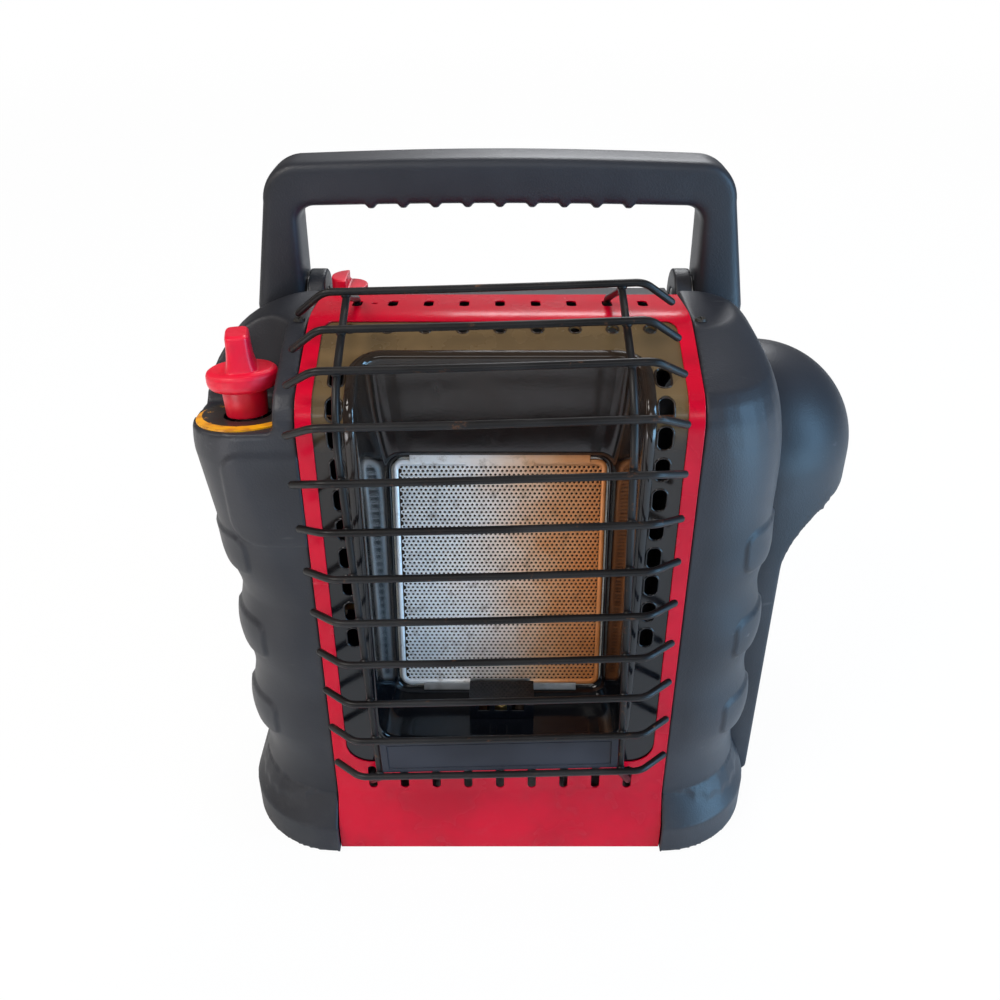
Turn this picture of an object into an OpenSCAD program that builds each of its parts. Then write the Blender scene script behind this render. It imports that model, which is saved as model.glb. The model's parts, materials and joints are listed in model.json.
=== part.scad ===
// Portable radiant propane heater, as an assembly of separate pieces.
// Build frame: X to the right as seen from the front, Y to the rear from the panel's front face,
// Z up from the floor. seat() moves it so that the origin is under the middle of the whole heater.

/* [Front panel] */
// Width of the red front panel
panel_w = 196; // [190:1:200]
// Height at which the panel's front begins to turn over
bend_z = 275; // [270:1:280]
// Radius of the turn from the front to the top
bend_r = 20; // [16:1:24]
// Slope of the panel's top behind the turn, in degrees
top_slope = 20; // [16:1:24]
// Thickness of the sheet steel of the panel and the reflector
sheet_t = 1; // [0.8:0.1:1.2]
// Half the width of the opening in the panel
opening_x = 90; // [86:1:91]
// Height of the opening's lower edge
opening_z = 57; // [56:1:62]
// Distance between neighbouring slots in the panel
slot_pitch = 19.05; // [18.5:0.05:19.3]

/* [Housings] */
// Half width of the side housings at mid height
housing_x = 148; // [146:1:150]
// Half width of the plinth at the floor
plinth_x = 157; // [155:1:160]
// Height of the plinth's upper edge
plinth_z = 29.5; // [26:0.5:34]
// Wall thickness of the plastic housings
wall = 3; // [2.5:0.5:3.5]
// Height of the housings' top
housing_top = 308.5; // [306:0.5:310]
// Depth of the body, from the panel to the rear
body_depth = 158; // [154:1:162]
// Depth of the shoulders that stand in front of the handle
shoulder_depth = 111; // [108:1:112]
// Height of the body behind the shoulders
rear_top = 277; // [272:1:278]
// Height of the grip swells along the housings' sides
swell = 2; // [0:0.5:3]

/* [Knob] */
// Radius of the round pod under the gas knob
pod_r = 28.6; // [27.6:0.2:29.6]
// Lean of the knob's axis outwards, in degrees
knob_lean_out = 2; // [0:1:3]
// Lean of the knob's axis to the rear, in degrees
knob_lean_back = 8; // [6:1:10]
// Radius of the knob's flange
knob_r = 17.8; // [17:0.2:18]
// Travel of the knob when pushed to light the pilot
knob_travel = 6; // [4:1:7]

/* [Burner] */
// Lean of the burner to the rear, in degrees
burner_lean = 10; // [8:1:12]
// Half width of the burner screen
screen_x = 59.5; // [57:0.5:60]
// Half height of the burner screen
screen_z = 72; // [70:0.5:73]

/* [Guard] */
// Diameter of the guard's wires
wire_d = 3.8; // [3:0.1:4]
// Distance of the cross wires in front of the panel
guard_gap = 28; // [26:1:30]
// Sideways lean of the guard in its slots, in degrees
guard_lean = 1.8; // [0:0.1:2]

/* [Handle] */
// Distance of the handle's pivot axis behind the panel
pivot_y = 131; // [130:1:132]
// Height of the handle's pivot axis
pivot_z = 297; // [296:1:299]
// Height of the raised handle's top
handle_top = 378; // [376:0.5:380]
// Radius of the pivot pins
pin_r = 5; // [4:0.5:6]

/* [Cylinder bay] */
// Sideways place of the gas cylinder's axis
bay_x = 150; // [148:1:152]
// Place of the gas cylinder's axis behind the panel
bay_y = 113; // [111:1:114]
// Radius of the recess for a gas cylinder of 99 mm diameter
bay_r = 51.5; // [51:0.1:51.6]
// Outer radius of the dome over the regulator
dome_r = 58; // [57:0.5:59]
// Radius of the cylinder socket's threaded bore
socket_r = 12.1; // [12:0.1:12.7]

/* [Hidden] */

$fn = 48;
gap = 0.4;                      // seam between a cover and its neighbour
panel_edge = panel_w / 2;
housing_in = panel_edge + gap;  // inner edge of the housings
floor_z = -9;                   // height of the floor below the frame's zero
floor_gap = floor_z + 1.5;      // the body stands this high, on its feet
guard_front = -guard_gap - wire_d / 2;
body_left = -plinth_x;
body_right = bay_x + dome_r;
body_rear = bay_y + dome_r;
mid_x = (body_left + body_right) / 2;
mid_y = (guard_front + body_rear) / 2;

// Panel profile: points [y, z] of its outer face from the bottom lip to the rear top edge
lip_y = -8.5;
crease_z = 12.3;
turn_y = bend_r * (1 - cos(90 - top_slope));
turn_z = bend_z + bend_r * sin(90 - top_slope);
slope_y = 52;                   // where the slope gives way to the crown
slope_z = turn_z + (slope_y - turn_y) * tan(top_slope);
crown_r = 50;
crown_fall = 6;                 // downward slope behind the crown, in degrees
crown_y = slope_y + crown_r * sin(top_slope);
crown_z = slope_z - crown_r * cos(top_slope);
panel_rear_y = 106;
panel_path = concat(
    [[lip_y, floor_gap + 0.3], [lip_y, crease_z], [0, plinth_z]],
    [for (a = [0:10:90 - top_slope]) [bend_r * (1 - cos(a)), bend_z + bend_r * sin(a)]],
    [for (a = [top_slope:-6.5:-crown_fall]) [crown_y - crown_r * sin(a), crown_z + crown_r * cos(a)]],
    [[panel_rear_y, crown_z + crown_r * cos(crown_fall)
        - (panel_rear_y - crown_y - crown_r * sin(crown_fall)) * tan(crown_fall)]]);

// Guard profile: a straight front, a bend and a slope, measured along s from the floor
wire_r = wire_d / 2;
wire_pitch = 27.2;
wire_first = 77;
wire_count = 12;
guard_bend_r = 45;
guard_turn = 70;
guard_bend_y = guard_bend_r - guard_gap;
guard_bend_s = guard_turn * PI / 180 * guard_bend_r;
guard_x = 67.5;                 // half the distance between the upright wires
tip_start_s = 130;              // above this the wires' tips turn downwards
tip_span = 220;

function clamp01(t) = max(0, min(1, t));
function mix(a, b, t) = a + (b - a) * clamp01(t);
function ease(t) = let (u = clamp01(t)) u * u * (3 - 2 * u);
function unit(v) = v / norm(v);

function guard_at(s) =
    s < bend_z ? [-guard_gap, s] :
    s < bend_z + guard_bend_s ?
        let (a = (s - bend_z) / guard_bend_r * 180 / PI)
        [guard_bend_y - guard_bend_r * cos(a), bend_z + guard_bend_r * sin(a)] :
        let (d = s - bend_z - guard_bend_s)
        [guard_bend_y - guard_bend_r * cos(guard_turn) + d * sin(guard_turn),
            bend_z + guard_bend_r * sin(guard_turn) + d * cos(guard_turn)];
function tip_angle(s) = min(75, guard_turn * pow(max(0, (s - tip_start_s) / tip_span), 1.8));

// Half width of a housing at height z, without its top rounding
swell_pitch = 58.5;
function swell_at(z) =
    z < plinth_z ? 0 : swell * cos((z - 83) / swell_pitch * 360) * ease((215 - z) / 40);
function side_x(z) =
    z <= crease_z ? plinth_x :
    z < plinth_z ? mix(plinth_x, housing_x, (z - crease_z) / (plinth_z - crease_z)) :
    housing_x + swell_at(z);
function round_in(z, low, r) =
    z <= low ? 0 : r * (1 - sqrt(max(0, 1 - pow((z - low) / (housing_top + 0.5 - low), 2))));

// Front face of a housing at height z: the panel's own profile, a little behind it
set_back = 1.2;
plinth_y = -12;
function front_y(z) =
    z <= crease_z ? plinth_y :
    z < plinth_z ? mix(plinth_y, set_back, (z - crease_z) / (plinth_z - crease_z)) :
    z < bend_z ? set_back :
    z < turn_z ? set_back + bend_r - sqrt(bend_r * bend_r - pow(z - bend_z, 2)) :
    set_back + turn_y + (z - turn_z) / tan(top_slope);

// Knob pod: the left housing's front corner swells and tightens towards the knob
knob_at = [-127.5, 30, 271];
pod_low = 168;
pod_out = 7.5;
front_strip = 109.4;            // the housing's front strip ends here, beside the knob
corner_r = 42;
plinth_corner_r = 58;
function corner_at(z) = mix(plinth_corner_r, corner_r, (z - crease_z) / 60);
rear_r = 22;
function pod_blend(z) = clamp01((z - pod_low) / 90);

// One horizontal outline of a housing: its inner edge, its front corner and its rear corner
function arc_points(c, r, from, to, z, n = 8) =
    [for (i = [0:n]) let (a = from + (to - from) * i / n) [c.x + r * cos(a), c.y + r * sin(a), z]];
function ring(z, h, t, inner, rear, width, corner, rear_rad) =
    let (w = width - t, f = front_y(h) + t,
        r = min(corner - t, w - inner - 1), q = min(rear_rad, w - inner - 1))
    concat([[inner, f, z]], arc_points([w - r, f + r], r, -90, 0, z),
        arc_points([w - q, rear - t - q], q, 0, 90, z), [[inner, rear - t, z]]);

// Outlines of the two housings; t insets them, and reads the rounded top's shape from higher up
right_low = 235;
left_low = 262;
function right_ring(z, t, inner, rear, rear_rad = rear_r) =
    let (h = z + (z > right_low ? t : 0))
    ring(z, h, t, inner, rear, side_x(h) - round_in(h, right_low, 28), corner_at(h), rear_rad);
function left_ring(z, t, inner, rear, rear_rad = rear_r) =
    let (h = z + (z > left_low ? t : 0), k = pod_blend(h))
    ring(z, h, t, inner, rear, side_x(h) + pod_out * k - round_in(h, left_low, 44),
        mix(corner_at(h), pod_r, k), rear_rad);

// A closed solid through a stack of convex outlines
module band(a, b)
    hull() polyhedron(concat(a, b),
        [[for (i = [0:len(a) - 1]) i], [for (i = [0:len(b) - 1]) len(a) + i]]);
module loft(rings) for (i = [0:len(rings) - 2]) band(rings[i], rings[i + 1]);

module seat() translate([-mid_x, -mid_y, -floor_z]) children();
module on_burner() translate([0, 47, 158]) rotate([-burner_lean, 0, 0]) children();
module on_knob() translate(knob_at) rotate([-knob_lean_back, -knob_lean_out, 0]) children();
module on_guard() translate([0, 0, wire_first]) rotate([0, -guard_lean, 0])
    translate([0, 0, -wire_first]) children();
module both_sides() { children(); mirror([1, 0, 0]) children(); }

module box(low, high) translate(low) cube(high - low);
module across(x0, x1, y, z, r) translate([x0, y, z]) rotate([0, 90, 0]) cylinder(h = x1 - x0, r = r);
module along(x, y0, y1, z, r) translate([x, y0, z]) rotate([-90, 0, 0]) cylinder(h = y1 - y0, r = r);

// A flat rounded rectangle from exact parts, and a slot with round ends along Y
module rounded(w, h, r) {
    square([w - 2 * r, h], center = true);
    square([w, h - 2 * r], center = true);
    for (x = [-1, 1], y = [-1, 1]) translate([x * (w / 2 - r), y * (h / 2 - r)]) circle(r);
}
module slot2d(w, h) {
    square([w, h - w], center = true);
    for (y = [-1, 1]) translate([0, y * (h - w) / 2]) circle(w / 2);
}
// Cuts through the panel: from the front, along Y, and from above, along Z
module front_cut(x, z, depth = 12) translate([x, -depth / 2, z]) rotate([-90, 0, 0])
    linear_extrude(depth) mirror([0, 1, 0]) children();
module top_cut(x, y, z, depth = 12) translate([x, y, z - depth / 2]) linear_extrude(depth) children();

// Sheet bent along a profile: the band between two depths behind its outer face
function step(p, i) = unit(p[i + 1] - p[i]);
function normal_at(p, i) =
    let (a = step(p, max(i - 1, 0)), b = step(p, min(i, len(p) - 2)), s = unit(a + b))
    [s.y, -s.x] / (s * b);
function inset_path(p, d) = [for (i = [0:len(p) - 1]) p[i] + normal_at(p, i) * d];
module bent_sheet(p, d0, d1, half_w)
    translate([-half_w, 0, 0]) rotate([90, 0, 90]) linear_extrude(2 * half_w)
        polygon(concat(inset_path(p, d0), [for (i = [len(p) - 1:-1:0]) inset_path(p, d1)[i]]));

// Tube swept along a path of points with rounded corners
function bend_points(a, b, c, r, n) =
    let (p = b + unit(a - b) * r, q = b + unit(c - b) * r)
    [for (i = [0:n]) let (t = i / n) (1 - t) * (1 - t) * p + 2 * t * (1 - t) * b + t * t * q];
function round_path(p, r, n = 4) = concat([p[0]],
    [for (i = [1:len(p) - 2]) each bend_points(p[i - 1], p[i], p[i + 1], r, n)], [p[len(p) - 1]]);
function tube_rings(path, r, sides, ref) = [for (i = [0:len(path) - 1])
    let (t = unit(path[min(i + 1, len(path) - 1)] - path[max(i - 1, 0)]),
        u = unit(cross(t, ref)), v = cross(t, u))
    [for (k = [0:sides - 1]) path[i] + r * (cos(360 * k / sides) * u + sin(360 * k / sides) * v)]];
module tube(path, r, sides = 8, ref = [0.3, 0.5, 0.81]) {
    n = len(path);
    walls = [for (i = [0:n - 2], k = [0:sides - 1]) let (j = (k + 1) % sides)
        each [[i * sides + k, (i + 1) * sides + k, (i + 1) * sides + j],
            [i * sides + k, (i + 1) * sides + j, i * sides + j]]];
    polyhedron([for (ring = tube_rings(path, r, sides, ref)) each ring],
        concat([[for (k = [0:sides - 1]) k]], walls, [[for (k = [sides - 1:-1:0]) (n - 1) * sides + k]]));
}

// ---------------------------------------------------------------- panel and housings

slots = [-4:4];
top_slot_y = 87;
module front_panel() seat() color([0.78, 0.03, 0.1]) difference() {
    bent_sheet(panel_path, 0, sheet_t, panel_edge);
    // the opening runs up the front and over the turn
    intersection() {
        front_cut(0, opening_z + 200, 120) rounded(2 * opening_x, 400, 14);
        top_cut(0, 62 - 100, 200, 400) rounded(2 * opening_x, 200, 10);
    }
    for (i = slots) {
        front_cut(i * slot_pitch, 44.5) slot2d(4.8, 18);
        top_cut(i * slot_pitch, top_slot_y, 309) slot2d(5, 12);
    }
    for (x = [-67, 67]) top_cut(x, top_slot_y, 309) circle(1.6);
}

z_levels = concat([floor_gap, crease_z, plinth_z], [for (z = [38:9:263]) z]);
top_levels = [268, 275, 281, 287, 292, 296.5, 300, 303, 305.5, 307.3, housing_top];
inner_levels = concat([floor_gap + wall, crease_z, plinth_z], [for (z = [38:18:263]) z]);
inner_top_levels = [268, 275, 282, 289, 295, 300, housing_top - wall];
lower_levels = concat(z_levels, [268, 272, rear_top]);
inner_lower = concat(inner_levels, [268, rear_top - wall]);
upper_levels = concat([rear_top - 12], top_levels);

// Space around the handle's boss and its leg, cut from the housings
module pivot_room() box([housing_in - 2, pivot_y - 17, pivot_z - 36], [leg_in - 0.1, pivot_y + 17, 400]);

// Scoop around the knob, grown by g: its floor is the dial's plane, its right side the front strip
module scoop(g) difference() {
    hull() {
        on_knob() translate([0, 0, -g]) cylinder(h = 0.5, r = pod_r + 1 + g, $fn = 48);
        on_knob() translate([-100, -90, -g]) cube([110, 100, 0.5]);
        translate([-134, 60, 330]) cylinder(h = 1, r = 25 + g, $fn = 48);
        translate([-250, -60, 330]) cube([116, 120, 1]);
    }
    box([-front_strip + g, -200, 200], [0, 200, 400]);
}

module left_housing() seat() color([0.13, 0.13, 0.14]) difference() {
    mirror([1, 0, 0]) {
        loft([for (z = lower_levels) left_ring(z, 0, housing_in, body_depth)]);
        loft([for (z = upper_levels) left_ring(z, 0, housing_in, shoulder_depth)]);
    }
    difference() {
        mirror([1, 0, 0]) {
            loft([for (z = inner_lower) left_ring(z, wall, housing_in - 2, body_depth)]);
            loft([for (z = inner_top_levels) left_ring(z, wall, housing_in - 2, shoulder_depth)]);
        }
        scoop(wall);
    }
    mirror([1, 0, 0]) pivot_room();
    scoop(0);
    on_knob() translate([0, 0, -20]) cylinder(h = 30, r = 13);
}

front_depth = 55;               // the right housing ends here below its shoulder
right_upper = [for (z = concat([rear_top + gap], top_levels)) if (z > rear_top) z];
module right_housing() seat() color([0.14, 0.15, 0.17]) difference() {
    union() {
        loft([for (z = lower_levels) right_ring(z, 0, housing_in, front_depth, 1)]);
        loft([for (z = [rear_top, rear_top + gap]) right_ring(z, 0, housing_in, front_depth, 1)]);
        loft([for (z = right_upper) right_ring(z, 0, housing_in, shoulder_depth)]);
    }
    loft([for (z = inner_lower) right_ring(z, wall, housing_in - 2, front_depth + 5, 1)]);
    loft([for (z = [268, 275, 282]) right_ring(z, wall, housing_in - 2, front_depth, 1)]);
    loft([for (z = concat([rear_top + wall], inner_top_levels)) if (z >= rear_top + wall)
        right_ring(z, wall, housing_in - 2, shoulder_depth)]);
}

// Right rear cover: dome over the regulator, recess for the gas cylinder below it
cover_y = front_depth + gap;
dome_z = 216;                   // centre of the dome's round top
skirt_z = 190;                  // lower edge of the dome's skirt at the rear
arch_x = 166;                   // the dome's side arch springs from here
arch_z = 196;
arch_r = 42;
dome_t = 3.5;
module dome(r, low)  {
    translate([bay_x, bay_y, low]) cylinder(h = dome_z - low, r = r, $fn = 96);
    translate([bay_x, bay_y, dome_z]) sphere(r, $fn = 96);
}
module bay_cover() seat() color([0.12, 0.13, 0.15]) difference() {
    union() {
        box([housing_in, cover_y, floor_gap], [bay_x, body_depth, skirt_z + 20]);
        box([housing_in, cover_y, 150], [housing_x - 12, body_depth, rear_top]);
        intersection() {
            dome(dome_r, floor_gap);
            box([0, cover_y, floor_gap], [400, 400, 400]);
        }
    }
    // recess for the gas cylinder and room for the regulator above it
    translate([bay_x, bay_y, floor_gap - 1]) cylinder(h = dome_z - floor_gap, r = bay_r, $fn = 96);
    dome(dome_r - dome_t, skirt_z);
    // open to the right under an arch, and open to the rear
    translate([0, 0, -100]) difference() {
        box([arch_x, 0, 0], [400, 400, 100 + arch_z]);
        translate([arch_x - 1, -1, 100 + arch_z - arch_r]) cube([arch_r + 1, 400, arch_r + 1]);
    }
    along(arch_x + arch_r, 0, 400, arch_z - arch_r, arch_r);
    box([125, bay_y, -100], [400, 400, skirt_z]);
    // hollow between the recess's wall and the outer walls
    difference() {
        box([housing_in - 1, cover_y + wall, floor_gap + wall],
            [housing_x - 12 - wall, body_depth - wall, rear_top - wall]);
        translate([bay_x, bay_y, floor_gap]) cylinder(h = 200, r = bay_r + wall, $fn = 96);
        dome(dome_r, skirt_z - wall);
    }
    // way through for the gas tube, and room for the handle's boss
    across(housing_in - 1, 120, 80, 243, 4.5);
    pivot_room();
}

rear_path = [[107.2, 303.5], [136, 300.5], [148, 296], [155, 288], [body_depth, 277],
    [body_depth, floor_gap + 1.6]];
module rear_cover() seat() color([0.13, 0.13, 0.14]) difference() {
    bent_sheet(rear_path, 0, 2.5, 95.8);
    // louvres
    for (z = [60:16:236]) box([-62, 150, z], [62, 165, z + 5]);
    // hole for the igniter button
    translate([igniter_x, igniter_y, 280]) cylinder(h = 40, r = 10.4);
}

module base_plate() seat() color([0.2, 0.2, 0.21]) difference() {
    union() {
        box([-97.6, -6.5, floor_gap], [97.6, 155, floor_gap + 1.2]);
        for (x = [-70, 40]) box([x, 20, floor_gap + 1], [x + 30, 21.2, 40]);
    }
    translate([bay_x, bay_y, floor_gap - 5]) cylinder(h = 20, r = dome_r + gap, $fn = 96);
}

module feet() seat() color([0.05, 0.05, 0.05])
    for (p = [[-128, 14], [128, 14], [-84, 140], [84, 140]])
        translate([p.x, p.y, floor_z]) cylinder(h = floor_gap - floor_z, r1 = 8.5, r2 = 10);

// ---------------------------------------------------------------- burner and reflector

mouth_x = 70;
mouth_low = 75;
mouth_top_y = 35;
back_x = 63.5;
back_z = 76;
flange_in = sheet_t + 0.2;
flange_t = 0.8;
flange_back = flange_in + flange_t;
pan_t = 0.8;

// Hopper-shaped space that tapers from the reflector's mouth to its back, grown by g
module hopper(g, rear) hull() {
    for (p = [[-20, 70 - g], [-20, 330], [23 + g, 330]])
        translate([-mouth_x - 3 - g, p.x - 0.1, p.y]) cube([2 * (mouth_x + 3 + g), 0.1, 0.1]);
    on_burner() box([-back_x - g, 2.2, -back_z - g], [back_x + g, rear, back_z + g]);
}
// Everything behind a depth under the panel's face
module behind_panel(d)
    translate([-120, 0, 0]) rotate([90, 0, 90]) linear_extrude(240)
        polygon(concat(inset_path(panel_path, d), [[panel_rear_y, 60]]));

side_pitch = 17.5;              // distance between the oblong slots down each side
module reflector() seat() color([0.02, 0.02, 0.025]) union() {
    difference() {
        bent_sheet(panel_path, flange_in, flange_back, 94);
        box([-100, -60, -10], [100, 60, 52]);
        box([-100, 70, 200], [100, 200, 400]);
        intersection() {
            front_cut(0, mouth_low + 200, 160) rounded(2 * mouth_x, 400, 12);
            top_cut(0, mouth_top_y - 100, 200, 400) rounded(2 * mouth_x, 200, 12);
        }
        for (i = slots) top_cut(i * slot_pitch, 54, 307.6) circle(2.6);
        both_sides() {
            for (k = [0:7]) front_cut(79.5, 150.5 + k * side_pitch) slot2d(7, 12.5);
            translate([79.5, 6, 287]) rotate([52, 0, 0]) translate([0, 0, -6])
                linear_extrude(12) slot2d(7, 12.5);
            translate([79.5, 21, 297]) rotate([20, 0, 0]) translate([0, 0, -6])
                linear_extrude(12) slot2d(7, 12.5);
        }
    }
    difference() {
        intersection() {
            hopper(pan_t, 3);
            behind_panel(flange_in + 0.3);
        }
        hopper(0, 3.6);
        for (x = pilot_holes) translate([x[0], pilot_y, 60]) cylinder(h = 30, r = x[1]);
    }
}

module heat_shield() seat() color([0.7, 0.7, 0.7]) difference() {
    box([-90, 110, 60], [90, 110.8, 286]);
    for (x = [-60:20:60]) front_cut(x, 250, 240) slot2d(4, 20);
}

module burner_screen() seat() on_burner() color([0.75, 0.73, 0.7])
    translate([0, 0.8, 0]) rotate([90, 0, 0]) linear_extrude(0.8) rounded(2 * screen_x, 2 * screen_z, 5);

module screen_bracket_top() seat() on_burner() color([0.35, 0.25, 0.18]) union() {
    box([-50, -1.1, 70.5], [50, -0.1, 75.6]);
    box([-19, -1.1, 68.5], [19, -0.1, 70.5]);
}
module screen_bracket_bottom() seat() on_burner() color([0.1, 0.09, 0.09]) union() {
    box([-46, -1.1, -75.6], [46, -0.1, -70.5]);
    box([-18, -1.1, -70.5], [18, -0.1, -67.5]);
}

module ceramic_tile() seat() on_burner() color([0.9, 0.87, 0.8])
    box([-59, 1, -71.5], [59, 13, 71.5]);
module tile_gasket() seat() on_burner() color([0.85, 0.85, 0.83]) difference() {
    box([-62.9, 1, -75.3], [62.9, 13, 75.3]);
    box([-59.2, 0, -71.7], [59.2, 14, 71.7]);
}
plenum_back = 42;
module burner_plenum() seat() on_burner() color([0.6, 0.6, 0.6]) difference() {
    box([-66, 3.2, -78.5], [66, plenum_back, 78.5]);
    box([-63, 2, -75.5], [63, plenum_back - 1.2, 75.5]);
    along(25, plenum_back - 5, plenum_back + 5, -51.5, 9);
}

venturi_y = 96;
venturi_z = 100;
venturi_r = 11;
elbow_r = 16;
module venturi_tube() seat() color([0.62, 0.62, 0.63]) difference() {
    union() {
        across(-80, 9, venturi_y, venturi_z, venturi_r);
        translate([-92, venturi_y, venturi_z]) rotate([0, 90, 0]) cylinder(h = 12, r1 = 14, r2 = venturi_r);
        translate([9, venturi_y - elbow_r, venturi_z]) rotate_extrude(angle = 90)
            translate([elbow_r, 0]) circle(venturi_r);
        along(9 + elbow_r, 70, venturi_y - elbow_r + 0.05, venturi_z, venturi_r);
    }
    across(-93, 9, venturi_y, venturi_z, 9.5);
    translate([9, venturi_y - elbow_r, venturi_z]) rotate_extrude(angle = 90)
        translate([elbow_r, 0]) circle(9.5);
    along(9 + elbow_r, 69, venturi_y - elbow_r + 0.05, venturi_z, 9.5);
    // its end lies flat on the plenum's leaning back
    on_burner() box([0, plenum_back - 40, -90], [60, plenum_back + 0.1, 0]);
}
module burner_jet() seat() color([0.75, 0.6, 0.3]) difference() {
    union() {
        across(-100, -94, venturi_y, venturi_z, 3);
        translate([-112, venturi_y, venturi_z]) rotate([0, 90, 0]) cylinder(h = 12, r = 7, $fn = 6);
    }
    across(-113, -93, venturi_y, venturi_z, 0.9);
}

// Pilot group under the burner, each through its own hole in the reflector's floor
pilot_y = 22;
pilot_x = 1;
spark_x = 12;
couple_x = -10;
pilot_holes = [[pilot_x, 3], [spark_x, 3.4], [couple_x, 2.9]];
module pilot_burner() seat() color([0.7, 0.55, 0.3]) union() {
    translate([pilot_x, pilot_y, 81]) cylinder(h = 5, r = 5);
    translate([pilot_x, pilot_y, 86]) cylinder(h = 4, r = 3);
    box([pilot_x - 3, pilot_y - 1, 90], [pilot_x + 3, pilot_y + 6, 91]);
}
module spark_electrode() seat() color([0.9, 0.9, 0.88]) union() {
    translate([spark_x, pilot_y, 68]) cylinder(h = 19, r = 3);
    translate([spark_x, pilot_y, 87]) cylinder(h = 4, r = 0.9);
}
// Enamelled hood over the pilot group, slotted in front and open to the burner
hood_x = [-18, 20];
hood_top = 94;
module pilot_hood() seat() color([0.02, 0.02, 0.025]) difference() {
    box([hood_x[0], 15, 76], [hood_x[1], 30, hood_top]);
    box([hood_x[0] + 0.8, 15.8, 70], [hood_x[1] - 0.8, 31, hood_top - 0.8]);
    for (x = [-13, -3, 7]) box([x, 10, 84], [x + 7, 17, 90]);
    // follows the pan's sloping floor
    translate([-50, 0, 0]) rotate([90, 0, 90]) linear_extrude(100)
        polygon([[-20, 60], [-20, 70.3], [37, 82.7], [37, 60]]);
}
module thermocouple() seat() color([0.72, 0.45, 0.25]) union() {
    translate([couple_x, pilot_y, 66]) cylinder(h = 24, r = 2.5);
    tube(round_path([[couple_x, pilot_y, 66.5], [couple_x, pilot_y, 56], [-106, 30, 56],
        [-110, 26, 150], knob_point(6, -6, valve_top - 44.8)], 8), 1.2);
}

// ---------------------------------------------------------------- guard

// Round wire along a path of points, as a chain of short straight pieces
module wire(path) loft(tube_rings(path, wire_r, 8, [0.3, 0.5, 0.81]));

// One cross wire: a straight run, a bend and a tip that points back and down by its angle
tip_bend = 12;
tip_turn = 40;
tip_len = 14;
run_x = 74;
function tip_points(s, side) = let (d = tip_angle(s))
    [for (q = concat([for (a = [0:10:tip_turn]) [run_x + tip_bend * sin(a), tip_bend * (1 - cos(a))]],
        [[run_x + tip_bend * sin(tip_turn) + tip_len * cos(tip_turn),
            tip_bend * (1 - cos(tip_turn)) + tip_len * sin(tip_turn)]]))
        [side * q.x, q.y * cos(d), -q.y * sin(d)]];
module cross_wire(s) {
    p = guard_at(s);
    translate([0, p.x, p.y])
        wire(concat([for (i = [5:-1:0]) tip_points(s, -1)[i]], tip_points(s, 1)));
}

upright_in = wire_d - 0.3;      // the uprights are welded behind the cross wires
guard_top = wire_first + (wire_count - 1) * wire_pitch;
function upright_at(s) =
    let (p = guard_at(s), n = s < bend_z ? 0 : min(guard_turn, (s - bend_z) / guard_bend_r * 180 / PI))
    [p.x + upright_in * cos(n), p.y - upright_in * sin(n)];
module upright(x) {
    stops = concat([wire_first - 6], [for (i = [0:7]) bend_z + guard_bend_s * i / 7], [guard_top]);
    wire([for (s = stops) [x, upright_at(s).x, upright_at(s).y]]);
}

// Ends of the guard in the panel's slots
top_hook_x = [-4 * slot_pitch, 3 * slot_pitch];
low_hook_x = 4 * slot_pitch;
function leaned(p) = let (h = p.z - wire_first)
    [p.x * cos(guard_lean) - h * sin(guard_lean), p.y,
        wire_first + p.x * sin(guard_lean) + h * cos(guard_lean)];
module wire_guard() seat() color([0.08, 0.07, 0.07]) union() {
    on_guard() {
        for (i = [0:wire_count - 1]) cross_wire(wire_first + i * wire_pitch);
        for (x = [-guard_x, guard_x]) upright(x);
    }
    for (i = [0, 1]) let (side = 2 * i - 1, top = upright_at(guard_top), low = upright_at(wire_first - 6)) {
        wire([leaned([side * guard_x, top.x - 0.5, top.y]), [top_hook_x[i], top_slot_y, 312],
            [top_hook_x[i], top_slot_y, 303]]);
        wire([leaned([side * guard_x, low.x, low.y + 0.5]), [side * low_hook_x, -4, 46],
            [side * low_hook_x, 6, 46]]);
    }
}

plate_y = 0.8 - guard_gap;
plate_x = guard_x - wire_r - 0.1;
plate_z = [wire_first + wire_r + 0.1, wire_first + wire_pitch - wire_r - 0.1];
module guard_plate() seat() on_guard() color([0.1, 0.1, 0.12]) difference() {
    box([-plate_x, plate_y, plate_z[0]], [plate_x, plate_y + 1.6, plate_z[1]]);
    // raised border around a plain field
    box([4 - plate_x, plate_y - 1, plate_z[0] + 3], [plate_x - 4, plate_y + 0.5, plate_z[1] - 3]);
}

// ---------------------------------------------------------------- handle

leg_in = 109.8;
leg_out = 137.5;
leg_r = 17;
grip_low = 353;
ridge_pitch = 17.4;
module leg_end() across(leg_in, leg_out, pivot_y, pivot_z, leg_r);
module corner_block(x, z, r) translate([x, pivot_y, z]) rotate([90, 0, 0])
    cylinder(h = 34, r = r, center = true, $fn = 32);
module handle() seat() color([0.12, 0.13, 0.15]) difference() {
    union() {
        both_sides() {
            leg_end();
            hull() {
                across(leg_in + 0.2, leg_out - 0.2, pivot_y, pivot_z + 8, leg_r - 2);
                corner_block(118.4, handle_top - 20, 9);
            }
        }
        hull() {
            for (x = [-114, 114]) corner_block(x, handle_top - 14.5, 11.5);
            translate([-60, pivot_y - 15, grip_low]) cube([120, 30, handle_top - grip_low]);
        }
        // finger ridges under the grip
        for (i = slots) along(i * ridge_pitch, pivot_y - 13, pivot_y + 13, grip_low + 0.6, 2.4);
    }
    // blind holes for the pins
    both_sides() across(leg_in - 1, leg_out - 3.5, pivot_y, pivot_z, pin_r + 0.06);
}

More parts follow.
